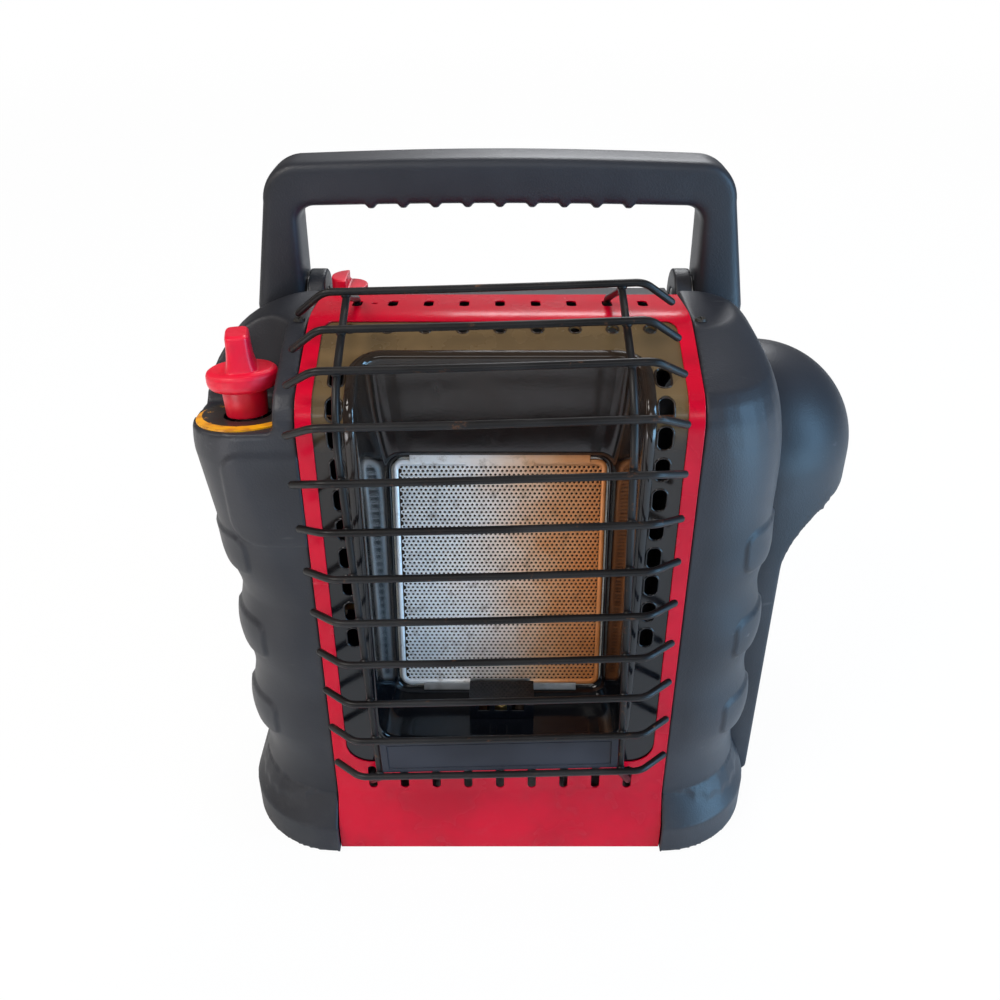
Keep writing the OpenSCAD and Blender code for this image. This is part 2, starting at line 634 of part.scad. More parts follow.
boss_out = leg_in - 1.6;
module pivot_boss() difference() {
    union() {
        across(housing_in + 0.2, boss_out, pivot_y, pivot_z, 16);
        box([housing_in + 0.2, pivot_y - 16, pivot_z - 35], [boss_out, pivot_y + 16, pivot_z]);
    }
    across(90, 120, pivot_y, pivot_z, pin_r + 0.06);
}
module right_pivot_boss() seat() color([0.14, 0.15, 0.17]) pivot_boss();
module left_pivot_boss() seat() color([0.13, 0.13, 0.14]) mirror([1, 0, 0]) pivot_boss();
module handle_pins() seat() color([0.55, 0.55, 0.57]) both_sides()
    across(housing_in + 0.4, leg_out - 4, pivot_y, pivot_z, pin_r);
module handle_washers() seat() color([0.75, 0.75, 0.77]) both_sides() difference() {
    across(boss_out + 0.1, leg_in - 0.1, pivot_y, pivot_z, 12);
    across(boss_out - 1, leg_in + 1, pivot_y, pivot_z, pin_r + 0.2);
}

// ---------------------------------------------------------------- gas knob and valve

skirt_r = 11.3;
stem_r = 4;
knob_floor = 1;
module control_knob() seat() on_knob() color([0.8, 0.02, 0.1]) difference() {
    union() {
        translate([0, 0, knob_floor]) cylinder(h = 15, r1 = skirt_r - 0.8, r2 = skirt_r);
        translate([0, 0, 15]) cylinder(h = 2, r1 = knob_r - 2, r2 = knob_r);
        translate([0, 0, 17]) cylinder(h = 6, r = knob_r);
        translate([0, 0, 23]) cylinder(h = 2, r1 = knob_r, r2 = knob_r - 2);
        // grip blade, thicker where it meets the flange
        hull() {
            translate([-5.5, -12.5, 41.5]) cube([11, 25, 2]);
            translate([-6, -knob_r + 3.4, 29]) cube([12.4, 2 * knob_r - 6.8, 2]);
        }
        hull() {
            translate([-6, -knob_r + 3.4, 29]) cube([12.4, 2 * knob_r - 6.8, 2]);
            translate([-7.6, -knob_r + 4, 23]) cube([15.6, 2 * knob_r - 8, 1.6]);
        }
    }
    cylinder(h = 16, r = stem_r + 0.02);
    cylinder(h = 4, r = 9.5);
}
module dial_plate() seat() on_knob() color([0.15, 0.13, 0.12]) difference() {
    translate([0, 0, 0.05]) cylinder(h = 0.8, r = pod_r - 3);
    cylinder(h = 3, r = skirt_r + 0.8, center = true);
    translate([-front_strip - knob_at.x - 0.8, -50, -1]) cube([50, 100, 3]);
}
module valve_stem() seat() on_knob() color([0.6, 0.6, 0.62])
    translate([0, 0, -38]) cylinder(h = 53.9, r = stem_r);
module spring_seat() seat() on_knob() color([0.6, 0.6, 0.62]) difference() {
    translate([0, 0, 2.4]) cylinder(h = 1.5, r = 9);
    cylinder(h = 8, r = stem_r + 0.06);
}
// Compression spring around the stem, between the valve and the seat
spring_turns = 5;
spring_r = 6.6;
spring_wire = 0.8;
function coil(r, pitch, turns, z0, n = 12) =
    [for (i = [0:turns * n]) [r * cos(360 * i / n), r * sin(360 * i / n), z0 + pitch * i / n]];
module knob_spring() seat() on_knob() color([0.7, 0.7, 0.72])
    tube(coil(spring_r, 3.3, spring_turns, -15), spring_wire, 6, [0, 0, 1]);
valve_top = -16.2;
module valve_body() seat() on_knob() color([0.72, 0.6, 0.35]) difference() {
    union() {
        translate([0, 0, valve_top - 26]) cylinder(h = 26, r = 13);
        translate([-11, -11, valve_top - 44]) cube([22, 22, 18]);
    }
    translate([0, 0, valve_top - 36]) cylinder(h = 40, r = stem_r + 0.06);
}
function knob_point(x, y, z) =
    let (a = knob_lean_back, b = knob_lean_out,
        py = y * cos(a) + z * sin(a), pz = -y * sin(a) + z * cos(a))
    knob_at + [x * cos(b) - pz * sin(b), py, x * sin(b) + pz * cos(b)];

// ---------------------------------------------------------------- igniter and tip switch

igniter_x = -85;
igniter_y = 124;
button_top = 312;
module igniter_button() seat() color([0.85, 0.04, 0.08]) difference() {
    union() {
        translate([igniter_x, igniter_y, 294]) cylinder(h = 13, r = 10);
        intersection() {
            translate([igniter_x, igniter_y, 300]) cylinder(h = button_top - 300, r = 10);
            box([igniter_x - 12, 0, 290], [igniter_x - 1, 200, 330]);
        }
    }
    translate([igniter_x, igniter_y, 293]) cylinder(h = 7, r = 6.8);
}
module igniter_spring() seat() color([0.7, 0.7, 0.72]) translate([igniter_x, igniter_y, 0])
    tube(coil(5, 3, 5, 284.2), 0.7, 6, [0, 0, 1]);
module igniter_body() seat() color([0.1, 0.1, 0.1]) union() {
    translate([igniter_x, igniter_y, 240]) cylinder(h = 43, r = 8);
    translate([igniter_x, igniter_y, 283]) cylinder(h = 5, r = 3);
}
module igniter_lead() seat() color([0.8, 0.35, 0.2])
    tube(round_path([[igniter_x, igniter_y, 239.8], [igniter_x, igniter_y, 48],
        [spark_x, 90, 48], [spark_x, pilot_y, 48], [spark_x, pilot_y, 67.8]], 8), 1.3, 8, [0.5, 0.8, 0.33]);
module tip_switch() seat() color([0.85, 0.85, 0.8]) union() {
    box([-138, 82, floor_gap + wall + 0.1], [-112, 108, 34]);
    box([-130, 90, 34], [-120, 100, 38]);
}

// ---------------------------------------------------------------- regulator and tubes

swing_z = 243;
ear_in = 14.4;
module regulator_bracket() seat() color([0.55, 0.56, 0.58]) difference() {
    union() {
        box([bay_x - 15, bay_y - ear_in - 2.5, 262], [bay_x + 15, bay_y + ear_in + 2.5, 264.5]);
        for (y = [-ear_in - 2.5, ear_in])
            box([bay_x - 9, bay_y + y, swing_z - 8], [bay_x + 9, bay_y + y + 2.5, 262]);
        translate([bay_x, bay_y, 264.5]) cylinder(h = 5.6, r = 6);
    }
    along(bay_x, bay_y - 30, bay_y + 30, swing_z, 3);
}
module regulator_pin() seat() color([0.7, 0.7, 0.72]) union() {
    along(bay_x, bay_y - ear_in - 2.4, bay_y + ear_in + 2.4, swing_z, 2.98);
    along(bay_x, bay_y + ear_in + 2.6, bay_y + ear_in + 4, swing_z, 4.5);
}
module regulator_body() seat() color([0.62, 0.63, 0.65]) difference() {
    union() {
        along(bay_x, bay_y - 14, bay_y + 14, 236, 16);
        translate([bay_x, bay_y, 210.2]) cylinder(h = 18, r = 12);
        along(bay_x + 6, bay_y - 18, bay_y - 14, 226, 5);
    }
    along(bay_x, bay_y - 20, bay_y + 20, swing_z, 3.04);
    translate([bay_x, bay_y, 200]) cylinder(h = 24, r = 3);
}
socket_low = 192;
module cylinder_socket() seat() color([0.78, 0.62, 0.3]) difference() {
    translate([bay_x, bay_y, socket_low]) cylinder(h = 18, r = 17);
    translate([bay_x, bay_y, socket_low - 1]) cylinder(h = 13, r = socket_r);
    translate([bay_x, bay_y, socket_low + 11]) cylinder(h = 3, r = 10.5);
    translate([bay_x, bay_y, socket_low]) cylinder(h = 20, r = 3);
}
module socket_seal() seat() color([0.05, 0.05, 0.05]) difference() {
    translate([bay_x, bay_y, socket_low + 12.1]) cylinder(h = 1.8, r = 10.4);
    translate([bay_x, bay_y, socket_low]) cylinder(h = 20, r = 6);
}
module gas_inlet_tube() seat() color([0.72, 0.45, 0.25])
    tube(round_path([[bay_x, bay_y - ear_in - 2.7, swing_z], [bay_x, 80, swing_z], [-118, 80, swing_z],
        [-126, 70, 221], knob_point(0, 11.7, -50)], 9), 3, 10, [0.2, 0.35, 0.9]);
module burner_tube() seat() color([0.72, 0.45, 0.25])
    tube(round_path([knob_point(5, 4, valve_top - 45.2), [-120, 48, 160], [-124, venturi_y, 130],
        [-124, venturi_y, venturi_z], [-112.2, venturi_y, venturi_z]], 9), 2.5, 10, [0.9, 0.2, 0.1]);
module pilot_tube() seat() color([0.72, 0.45, 0.25])
    tube(round_path([knob_point(-5, -4, valve_top - 45), [-126, 42, 150], [-118, 40, 66],
        [pilot_x, 40, 62], [pilot_x, pilot_y, 70], [pilot_x, pilot_y, 80.8]], 5), 2, 8, [0.3, 0.9, 0.2]);

// ---------------------------------------------------------------- screws

module screw(x, y, z, r, h) translate([x, y, z]) difference() {
    cylinder(h = h, r1 = r, r2 = r * 0.8);
    for (a = [0, 90]) rotate([0, 0, a]) translate([-r * 0.55, -0.4, h - 0.8]) cube([r * 1.1, 0.8, 2]);
}
module top_screws() seat() color([0.6, 0.58, 0.55])
    for (x = [-103.5, 103.5]) screw(x, 64, housing_top + 0.05, 3.2, 1.4);
module rear_screws() seat() color([0.6, 0.6, 0.6])
    for (x = [-86, 86], z = [24, 150, 262])
        translate([x, body_depth, z]) rotate([-90, 0, 0]) screw(0, 0, 0.05, 3.6, 1.8);

front_panel();
left_housing();
right_housing();
bay_cover();
rear_cover();
base_plate();
feet();
reflector();
heat_shield();
burner_screen();
screen_bracket_top();
screen_bracket_bottom();
ceramic_tile();
tile_gasket();
burner_plenum();
venturi_tube();
burner_jet();
wire_guard();
guard_plate();
handle();
left_pivot_boss();
right_pivot_boss();
handle_pins();
handle_washers();
control_knob();
dial_plate();
valve_stem();
spring_seat();
knob_spring();
valve_body();
igniter_button();
igniter_spring();
igniter_body();
igniter_lead();
pilot_burner();
spark_electrode();
thermocouple();
pilot_hood();
tip_switch();
regulator_bracket();
regulator_pin();
regulator_body();
cylinder_socket();
socket_seal();
gas_inlet_tube();
burner_tube();
pilot_tube();
top_screws();
rear_screws();
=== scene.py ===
"""Looks of a portable radiant propane heater, built round its packed construction model.

The heater's own lengths are in build millimetres, as in its source: x to the right of the panel's
middle, y to the rear of the panel's front face, z up. Seat turns them into the frame's metres.
"""

import json
import logging
import math
from collections.abc import Callable
from dataclasses import dataclass, field
from enum import Enum

import bmesh
import bpy
import numpy as np
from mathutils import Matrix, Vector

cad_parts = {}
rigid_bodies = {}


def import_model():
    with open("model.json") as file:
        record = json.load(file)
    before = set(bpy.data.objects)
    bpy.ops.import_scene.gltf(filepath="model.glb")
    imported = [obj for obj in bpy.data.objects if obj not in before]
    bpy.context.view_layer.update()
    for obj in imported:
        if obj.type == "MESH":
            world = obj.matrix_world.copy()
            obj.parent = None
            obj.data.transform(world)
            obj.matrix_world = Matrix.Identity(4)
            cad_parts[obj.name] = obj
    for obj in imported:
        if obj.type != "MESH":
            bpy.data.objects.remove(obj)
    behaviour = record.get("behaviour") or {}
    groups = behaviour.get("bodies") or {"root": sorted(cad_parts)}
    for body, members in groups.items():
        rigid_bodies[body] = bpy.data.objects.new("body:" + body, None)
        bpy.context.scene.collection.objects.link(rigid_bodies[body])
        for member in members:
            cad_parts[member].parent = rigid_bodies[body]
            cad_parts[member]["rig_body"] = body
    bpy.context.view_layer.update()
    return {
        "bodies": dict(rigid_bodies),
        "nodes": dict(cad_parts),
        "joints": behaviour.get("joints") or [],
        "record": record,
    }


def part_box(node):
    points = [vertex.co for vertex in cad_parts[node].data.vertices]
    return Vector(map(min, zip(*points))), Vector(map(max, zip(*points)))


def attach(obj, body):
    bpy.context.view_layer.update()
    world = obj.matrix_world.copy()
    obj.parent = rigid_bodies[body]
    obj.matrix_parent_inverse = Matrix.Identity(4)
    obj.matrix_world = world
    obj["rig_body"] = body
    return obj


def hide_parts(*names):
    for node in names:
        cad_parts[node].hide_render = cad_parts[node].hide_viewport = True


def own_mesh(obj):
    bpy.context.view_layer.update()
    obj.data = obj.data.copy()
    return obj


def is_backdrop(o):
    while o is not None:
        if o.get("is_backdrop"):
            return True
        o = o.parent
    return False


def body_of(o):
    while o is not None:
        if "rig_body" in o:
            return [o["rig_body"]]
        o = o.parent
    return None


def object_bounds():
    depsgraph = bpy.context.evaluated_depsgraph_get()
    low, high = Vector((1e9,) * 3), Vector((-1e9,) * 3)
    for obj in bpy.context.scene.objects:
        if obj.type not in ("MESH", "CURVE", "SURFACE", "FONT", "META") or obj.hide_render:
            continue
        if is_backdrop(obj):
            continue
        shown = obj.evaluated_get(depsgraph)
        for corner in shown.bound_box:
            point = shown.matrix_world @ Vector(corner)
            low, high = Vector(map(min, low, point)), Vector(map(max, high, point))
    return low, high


log = logging.getLogger("heater")
Colour = tuple[float, float, float]
Triple = tuple[float, float, float]
Place = Callable[[np.ndarray], np.ndarray]
MM = 0.001


# ------------------------------------------------------------------ shader expressions

class Socket:
    """One output in a material's node tree; arithmetic on it adds Math nodes."""

    def __init__(self, paint: "Paint", output: bpy.types.NodeSocket) -> None:
        """Keeps the tree's painter and the output that this expression stands for."""
        self.paint = paint
        self.output = output

    def _math(self, operation: str, *values: "Socket | float") -> "Socket":
        """The Math node of that operation on these values."""
        return self.paint.node("ShaderNodeMath", {"operation": operation}, dict(enumerate(values)))

    def __add__(self, other: "Socket | float") -> "Socket":
        """self + other."""
        return self._math("ADD", self, other)

    def __radd__(self, other: float) -> "Socket":
        """other + self."""
        return self._math("ADD", other, self)

    def __sub__(self, other: "Socket | float") -> "Socket":
        """self - other."""
        return self._math("SUBTRACT", self, other)

    def __rsub__(self, other: float) -> "Socket":
        """other - self."""
        return self._math("SUBTRACT", other, self)

    def __mul__(self, other: "Socket | float") -> "Socket":
        """self * other."""
        return self._math("MULTIPLY", self, other)

    def __rmul__(self, other: float) -> "Socket":
        """other * self."""
        return self._math("MULTIPLY", other, self)

    def __truediv__(self, other: "Socket | float") -> "Socket":
        """self / other."""
        return self._math("DIVIDE", self, other)

    def __pow__(self, other: "Socket | float") -> "Socket":
        """self to the power other."""
        return self._math("POWER", self, other)

    def wave(self) -> "Socket":
        """The sine of this value."""
        return self._math("SINE", self)

    def size(self) -> "Socket":
        """The value without its sign."""
        return self._math("ABSOLUTE", self)

    def angle(self, other: "Socket") -> "Socket":
        """The angle of the point (other, self), in radians."""
        return self._math("ARCTAN2", self, other)

    def within(self, low: float, high: float) -> "Socket":
        """Rises smoothly from 0 at low to 1 at high; it falls where low is the larger."""
        first, last = (0.0, 1.0) if low < high else (1.0, 0.0)
        return self.paint.node("ShaderNodeMapRange", {"interpolation_type": "SMOOTHSTEP", "clamp": True},
                               {0: self, 1: min(low, high), 2: max(low, high), 3: first, 4: last})


class Paint:
    """Writes one material's node tree."""

    def __init__(self, name: str) -> None:
        """Makes an empty material of that name, with its output node."""
        self.material = bpy.data.materials.new(name)
        self.material.use_nodes = True
        self.tree = self.material.node_tree
        self.tree.nodes.clear()
        self.out = self.tree.nodes.new("ShaderNodeOutputMaterial")
        self._place: Socket | None = None

    def node(self, kind: str, settings: dict | None = None, values: dict | None = None,
             output: int | str = 0) -> Socket:
        """Adds a node.

        Args:
            kind: The node's type.
            settings: Its properties, set before its sockets.
            values: Numbers, colours or Sockets for its inputs, by index or name.
            output: The output that is returned.

        Returns:
            The node's output.
        """
        made = self.tree.nodes.new(kind)
        for key, value in (settings or {}).items():
            setattr(made, key, value)
        for key, value in (values or {}).items():
            if isinstance(value, Socket):
                self.tree.links.new(value.output, made.inputs[key])
            elif value is not None:
                if isinstance(value, tuple) and made.inputs[key].type == "RGBA":
                    value = (*value[:3], 1.0)
                made.inputs[key].default_value = value
        return Socket(self, made.outputs[output])

    @property
    def place(self) -> Socket:
        """The object's own coordinates, in metres."""
        if self._place is None:
            self._place = self.node("ShaderNodeTexCoord", output="Object")
        return self._place

    def axes(self) -> tuple[Socket, Socket, Socket]:
        """The three object coordinates one by one."""
        split = self.node("ShaderNodeSeparateXYZ", values={0: self.place})
        outs = split.output.node.outputs
        return tuple(Socket(self, outs[i]) for i in range(3))

    def stretched(self, scale: Triple, turn: Triple = (0, 0, 0)) -> Socket:
        """The object coordinates, scaled along each axis and turned."""
        return self.node("ShaderNodeMapping", values={"Vector": self.place, "Rotation": turn, "Scale": scale})

    def noise(self, scale: float, detail: float = 2, rough: float = 0.5, at: Socket | None = None) -> Socket:
        """Fractal noise from 0 to 1, scale features to the metre."""
        return self.node("ShaderNodeTexNoise", None, {"Vector": at or self.place, "Scale": scale,
                                                      "Detail": detail, "Roughness": rough})

    def cells(self, scale: float) -> Socket:
        """Distance to the nearest of many random points, scale of them to the metre."""
        return self.node("ShaderNodeTexVoronoi", None, {"Vector": self.place, "Scale": scale})

    def mix(self, mask: "Socket | float", a: "Socket | Colour", b: "Socket | Colour") -> Socket:
        """Colour a where the mask is 0 and b where it is 1."""
        return self.node("ShaderNodeMix", {"data_type": "RGBA"}, {0: mask, 6: a, 7: b}, 2)

    def bump(self, height: Socket, depth: float, below: Socket | None = None) -> Socket:
        """A bumped normal whose relief is depth metres high, on top of another one."""
        return self.node("ShaderNodeBump", None, {"Height": height, "Distance": depth, "Strength": 1.0,
                                                  "Normal": below})

    def surface(self, **inputs: "Socket | float | Colour") -> None:
        """Ends the tree in a Principled surface; underscores in names stand for spaces."""
        values = {key.replace("_", " "): value for key, value in inputs.items()}
        shader = self.node("ShaderNodeBsdfPrincipled", None, values)
        self.tree.links.new(shader.output, self.out.inputs["Surface"])


# ------------------------------------------------------------------ finishes

@dataclass(frozen=True)
class Finish:
    """A finish of one of the heater's surfaces."""

    name: str
    colour: Colour

    def dress(self, paint: Paint) -> None:
        """Writes the finish's nodes."""
        raise NotImplementedError

    def material(self) -> bpy.types.Material:
        """The finish's material, made on its first use; the frame's own ones have the bare names."""
        title = f"{self.name}_finish"
        made = bpy.data.materials.get(title)
        if made is None:
            paint = Paint(title)
            self.dress(paint)
            made = paint.material
        return made


@dataclass(frozen=True)
class PowderCoat(Finish):
    """Glossy coat on sheet steel: faint orange peel, dull scuffs and a little dust low down."""

    roughness: float = 0.22
    peel: float = 0.00003

    def dress(self, paint: Paint) -> None:
        """Scuffs are long thin noise; they lighten the colour and dull the gloss."""
        x, y, z = paint.axes()
        mottle = paint.noise(22, 3, 0.6).within(0.35, 0.7)
        strokes = paint.noise(60, 4, 0.7, paint.stretched((0.35, 1, 3.2), (0, 0.5, 0)))
        scuff = strokes.within(0.66, 0.74) * paint.noise(14, 2).within(0.5, 0.62)
        low = z.within(0.09, 0.0) * 0.4
        worn = scuff * 0.25 + low * paint.noise(90, 4, 0.7).within(0.5, 0.75) * 0.1
        deep = tuple(c * 0.8 for c in self.colour)
        pale = tuple(c * 0.75 + 0.2 for c in self.colour)
        colour = paint.mix(worn, paint.mix(mottle, self.colour, deep), pale)
        peel = paint.bump(paint.noise(420, 2), self.peel)
        paint.surface(Base_Color=colour, Roughness=mottle * 0.08 + scuff * 0.25 + self.roughness,
                      Specular_IOR_Level=0.22, Coat_Weight=0.06, Coat_Roughness=0.08,
                      Normal=paint.bump(strokes, 0.00004, peel))


@dataclass(frozen=True)
class VitreousEnamel(Finish):
    """Glossy black fired enamel that heat has browned from a height upwards, with a few specks."""

    haze: Colour = (0.03, 0.018, 0.012)
    brown: Colour = (0.05, 0.03, 0.016)
    start: float = 0.2
    full: float = 0.33
    dull: float = 0.09
    baked: float = 0.0

    def dress(self, paint: Paint) -> None:
        """Haze grows upwards, and turns to a stronger brown at its top; specks dull the gloss."""
        x, y, z = paint.axes()
        cloud = paint.noise(28, 4, 0.6).within(0.35, 0.75)
        haze = z.within(self.start, self.full) * (cloud * 0.3 + 0.7)
        top = z.within(self.full - 0.03, self.full)
        specks = paint.cells(900).within(0.1, 0.05) * paint.noise(60, 2).within(0.55, 0.68)
        smear = paint.noise(50, 4, 0.7, paint.stretched((1, 1, 0.3))).within(0.6, 0.8)
        colour = paint.mix(haze, self.colour, paint.mix(top, self.haze, self.brown))
        colour = paint.mix(specks * 0.4 + smear * 0.03, colour, (0.22, 0.2, 0.18))
        wave = paint.bump(paint.noise(26, 1), 0.00012)
        rough = cloud * 0.06 + specks * 0.2 + smear * 0.12 + top * self.baked + self.dull
        paint.surface(Base_Color=colour, Roughness=rough, Specular_IOR_Level=0.45,
                      Normal=paint.bump(paint.noise(500, 2), 0.000012, wave))


@dataclass(frozen=True)
class GrainedPlastic(Finish):
    """Moulded plastic with a pebble grain, rubbed in places, scratched and dusty near the floor."""

    grain: float = 0.00009
    pebbles: float = 950

    def dress(self, paint: Paint) -> None:
        """Grain is cell distance under fine noise; scratches are thin strokes of noise in a few areas."""
        x, y, z = paint.axes()
        warp = paint.noise(300, 2)
        grain = paint.cells(self.pebbles) * 0.7 + paint.noise(2200, 2) * 0.3
        tone = paint.noise(9, 3, 0.6).within(0.3, 0.7)
        lines = paint.noise(260, 1, 0.5, paint.stretched((0.12, 1.0, 1.0), (0.3, 0.9, 0.5)))
        patch = paint.noise(36, 1).within(0.58, 0.7)
        scratch = lines.within(0.68, 0.76) * patch
        dust = z.within(0.16, 0.0) * paint.noise(70, 4, 0.7).within(0.45, 0.8)
        light = tuple(c * 1.5 + 0.006 for c in self.colour)
        colour = paint.mix(tone, self.colour, light)
        colour = paint.mix(dust * 0.07 + scratch * 0.1, colour, (0.24, 0.235, 0.23))
        lumps = paint.bump(warp, 0.00003)
        paint.surface(Base_Color=colour, Roughness=0.52 - tone * 0.1 + dust * 0.12 - scratch * 0.15,
                      Specular_IOR_Level=0.4, Normal=paint.bump(grain, self.grain, lumps))


@dataclass(frozen=True)
class GlossPlastic(Finish):
    """Plain moulded plastic with flow marks and rubbed, duller patches."""

    roughness: float = 0.32

    def dress(self, paint: Paint) -> None:
        """Dull patches where a hand rubs it, and very fine scratches."""
        rub = paint.noise(90, 3, 0.6).within(0.4, 0.7)
        fine = paint.noise(700, 3, 0.6, paint.stretched((1, 0.2, 1), (0.3, 0.2, 0.7)))
        deep = tuple(c * 0.7 for c in self.colour)
        paint.surface(Base_Color=paint.mix(rub * 0.3, self.colour, deep),
                      Roughness=rub * 0.14 + fine * 0.1 + self.roughness,
                      Normal=paint.bump(fine, 0.00003))


@dataclass(frozen=True)
class CoatedWire(Finish):
    """Black coated wire that has browned with heat, with rust where the coat has gone."""

    rust: Colour = (0.14, 0.055, 0.022)
    spread: float = 0.56

    def dress(self, paint: Paint) -> None:
        """Rust blooms at the peaks of fine noise; it is rougher and stands proud."""
        bloom = paint.noise(130, 5, 0.7).within(self.spread, self.spread + 0.12)
        warm = paint.noise(18, 2).within(0.4, 0.7)
        tan = tuple(c * 1.6 + 0.008 for c in self.colour)
        colour = paint.mix(bloom * 0.8, paint.mix(warm, self.colour, tan), self.rust)
        paint.surface(Base_Color=colour, Roughness=bloom * 0.35 + 0.38, Metallic=0.0,
                      Specular_IOR_Level=0.26, Normal=paint.bump(paint.noise(900, 4, 0.7) * bloom, 0.00012))


@dataclass(frozen=True)
class BareMetal(Finish):
    """Bare or plated metal, brushed or spangled, with stains."""

    roughness: float = 0.32
    stain: Colour = (0.3, 0.24, 0.18)
    brushing: Colour = (1.0, 1.0, 12.0)
    spangle: float = 0.0

    def dress(self, paint: Paint) -> None:
        """Brushing is noise stretched along one axis; spangle is random cells of tone."""
        brush = paint.noise(400, 3, 0.6, paint.stretched(self.brushing))
        stain = paint.noise(45, 4, 0.65).within(0.5, 0.75)
        colour = paint.mix(stain * 0.55, self.colour, self.stain)
        if self.spangle > 0:
            tone = paint.cells(self.spangle)
            colour = paint.mix(tone.within(0.1, 0.8) * 0.35, colour, tuple(c * 0.6 for c in self.colour))
        rough = brush * 0.16 + stain * 0.2 + self.roughness - 0.08
        paint.surface(Base_Color=colour, Metallic=1.0, Roughness=rough, Normal=paint.bump(brush, 0.00002))


@dataclass(frozen=True)
class HeatTintAndReflectionScreen(Finish):
    """Stainless burner screen: silver on its left, straw then bronze on its right, partly heat tint and partly
    painted warm reflection.
    """

    # straw and bronze: partly heat tint, partly a painted warm reflection on the right side
    straw: Colour = (0.72, 0.42, 0.22)
    bronze: Colour = (0.58, 0.18, 0.035)
    left: float = -0.075
    right: float = 0.03

    def dress(self, paint: Paint) -> None:
        """The straw and bronze, partly heat tint and partly painted warm reflection, follow x with a cloudy
        edge; grime sits in soft spots.
        """
        x, y, z = paint.axes()
        cloud = paint.noise(34, 3, 0.6)
        across = ((x - self.left) / (self.right - self.left) + (cloud - 0.5) * 0.5)
        # painted warm reflection with heat tint: straw, then bronze, towards the right along x
        tint_and_reflection = paint.mix(across.within(0.15, 0.85), self.colour, self.straw)
        tint_and_reflection = paint.mix(across.within(0.5, 1.1) * 0.92, tint_and_reflection, self.bronze)
        grime = paint.noise(120, 4, 0.7).within(0.52, 0.72)
        colour = paint.mix(grime * 0.45, tint_and_reflection, (0.2, 0.12, 0.06))
        paint.surface(Base_Color=colour, Metallic=0.42, Roughness=grime * 0.15 + 0.34,
                      Normal=paint.bump(paint.noise(800, 2), 0.00002))


@dataclass(frozen=True)
class Mineral(Finish):
    """Porous ceramic or mineral fibre."""

    pores: float = 1400
    relief: float = 0.0002

    def dress(self, paint: Paint) -> None:
        """Pores are small random cells; soot clouds darken it."""
        pore = paint.cells(self.pores).within(0.45, 0.2)
        soot = paint.noise(40, 4, 0.6).within(0.45, 0.75)
        colour = paint.mix(soot * 0.4, self.colour, tuple(c * 0.45 for c in self.colour))
        colour = paint.mix(pore * 0.7, colour, (0.1, 0.07, 0.05))
        paint.surface(Base_Color=colour, Roughness=0.9, Normal=paint.bump(pore, -self.relief))


@dataclass(frozen=True)
class DialPrint(Finish):
    """Dark dial with an orange printed crescent and plain ticks inside it."""

    centre: Triple = (0, 0, 0)
    ring: tuple[float, float] = (0.0238, 0.0256)
    offset: float = 0.0052
    marks: float = 7
    tick: tuple[float, float] = (0.0065, 0.0028)

    def dress(self, paint: Paint) -> None:
        """The crescent is what a circle set further back leaves bare; ticks are short narrow spokes."""
        at = paint.node("ShaderNodeVectorMath", {"operation": "SUBTRACT"},
                        {0: paint.place, 1: self.centre})
        split = paint.node("ShaderNodeSeparateXYZ", values={0: at}).output.node.outputs
        x, y = Socket(paint, split[0]), Socket(paint, split[1])
        radius = (x * x + y * y) ** 0.5
        around = y.angle(x)
        low, high = self.ring
        back = y - self.offset
        inner = (x * x + back * back) ** 0.5
        crescent = inner.within(low, low + 0.0003)
        spokes = (around * self.marks).wave().size().within(0.93, 0.96)
        tick = spokes * radius.within(high - self.tick[0], high - self.tick[0] + 0.0003)
        tick = tick * radius.within(high - self.tick[1], high - self.tick[1] - 0.0003)
        specks = paint.noise(1300, 1).within(0.56, 0.62)
        mask = crescent + (1 - crescent) * tick * specks * 0.7
        wear = paint.noise(260, 4, 0.7).within(0.6, 0.7)
        orange = paint.mix(paint.noise(120, 3).within(0.4, 0.7), self.colour, (0.55, 0.2, 0.02))
        colour = paint.mix(mask * (1 - wear * 0.6), (0.03, 0.024, 0.02), orange)
        paint.surface(Base_Color=colour, Roughness=wear * 0.2 + 0.38,
                      Normal=paint.bump(paint.noise(1200, 2), 0.00002))


@dataclass(frozen=True)
class SoftRubber(Finish):
    """Rubber or silicone with a dull bloom."""

    def dress(self, paint: Paint) -> None:
        """A grey bloom over the colour and a very fine relief."""
        bloom = paint.noise(150, 4, 0.65).within(0.45, 0.75)
        colour = paint.mix(bloom * 0.3, self.colour, tuple(c + 0.12 for c in self.colour))
        paint.surface(Base_Color=colour, Roughness=bloom * 0.1 + 0.72,
                      Normal=paint.bump(paint.noise(1500, 2), 0.00004))


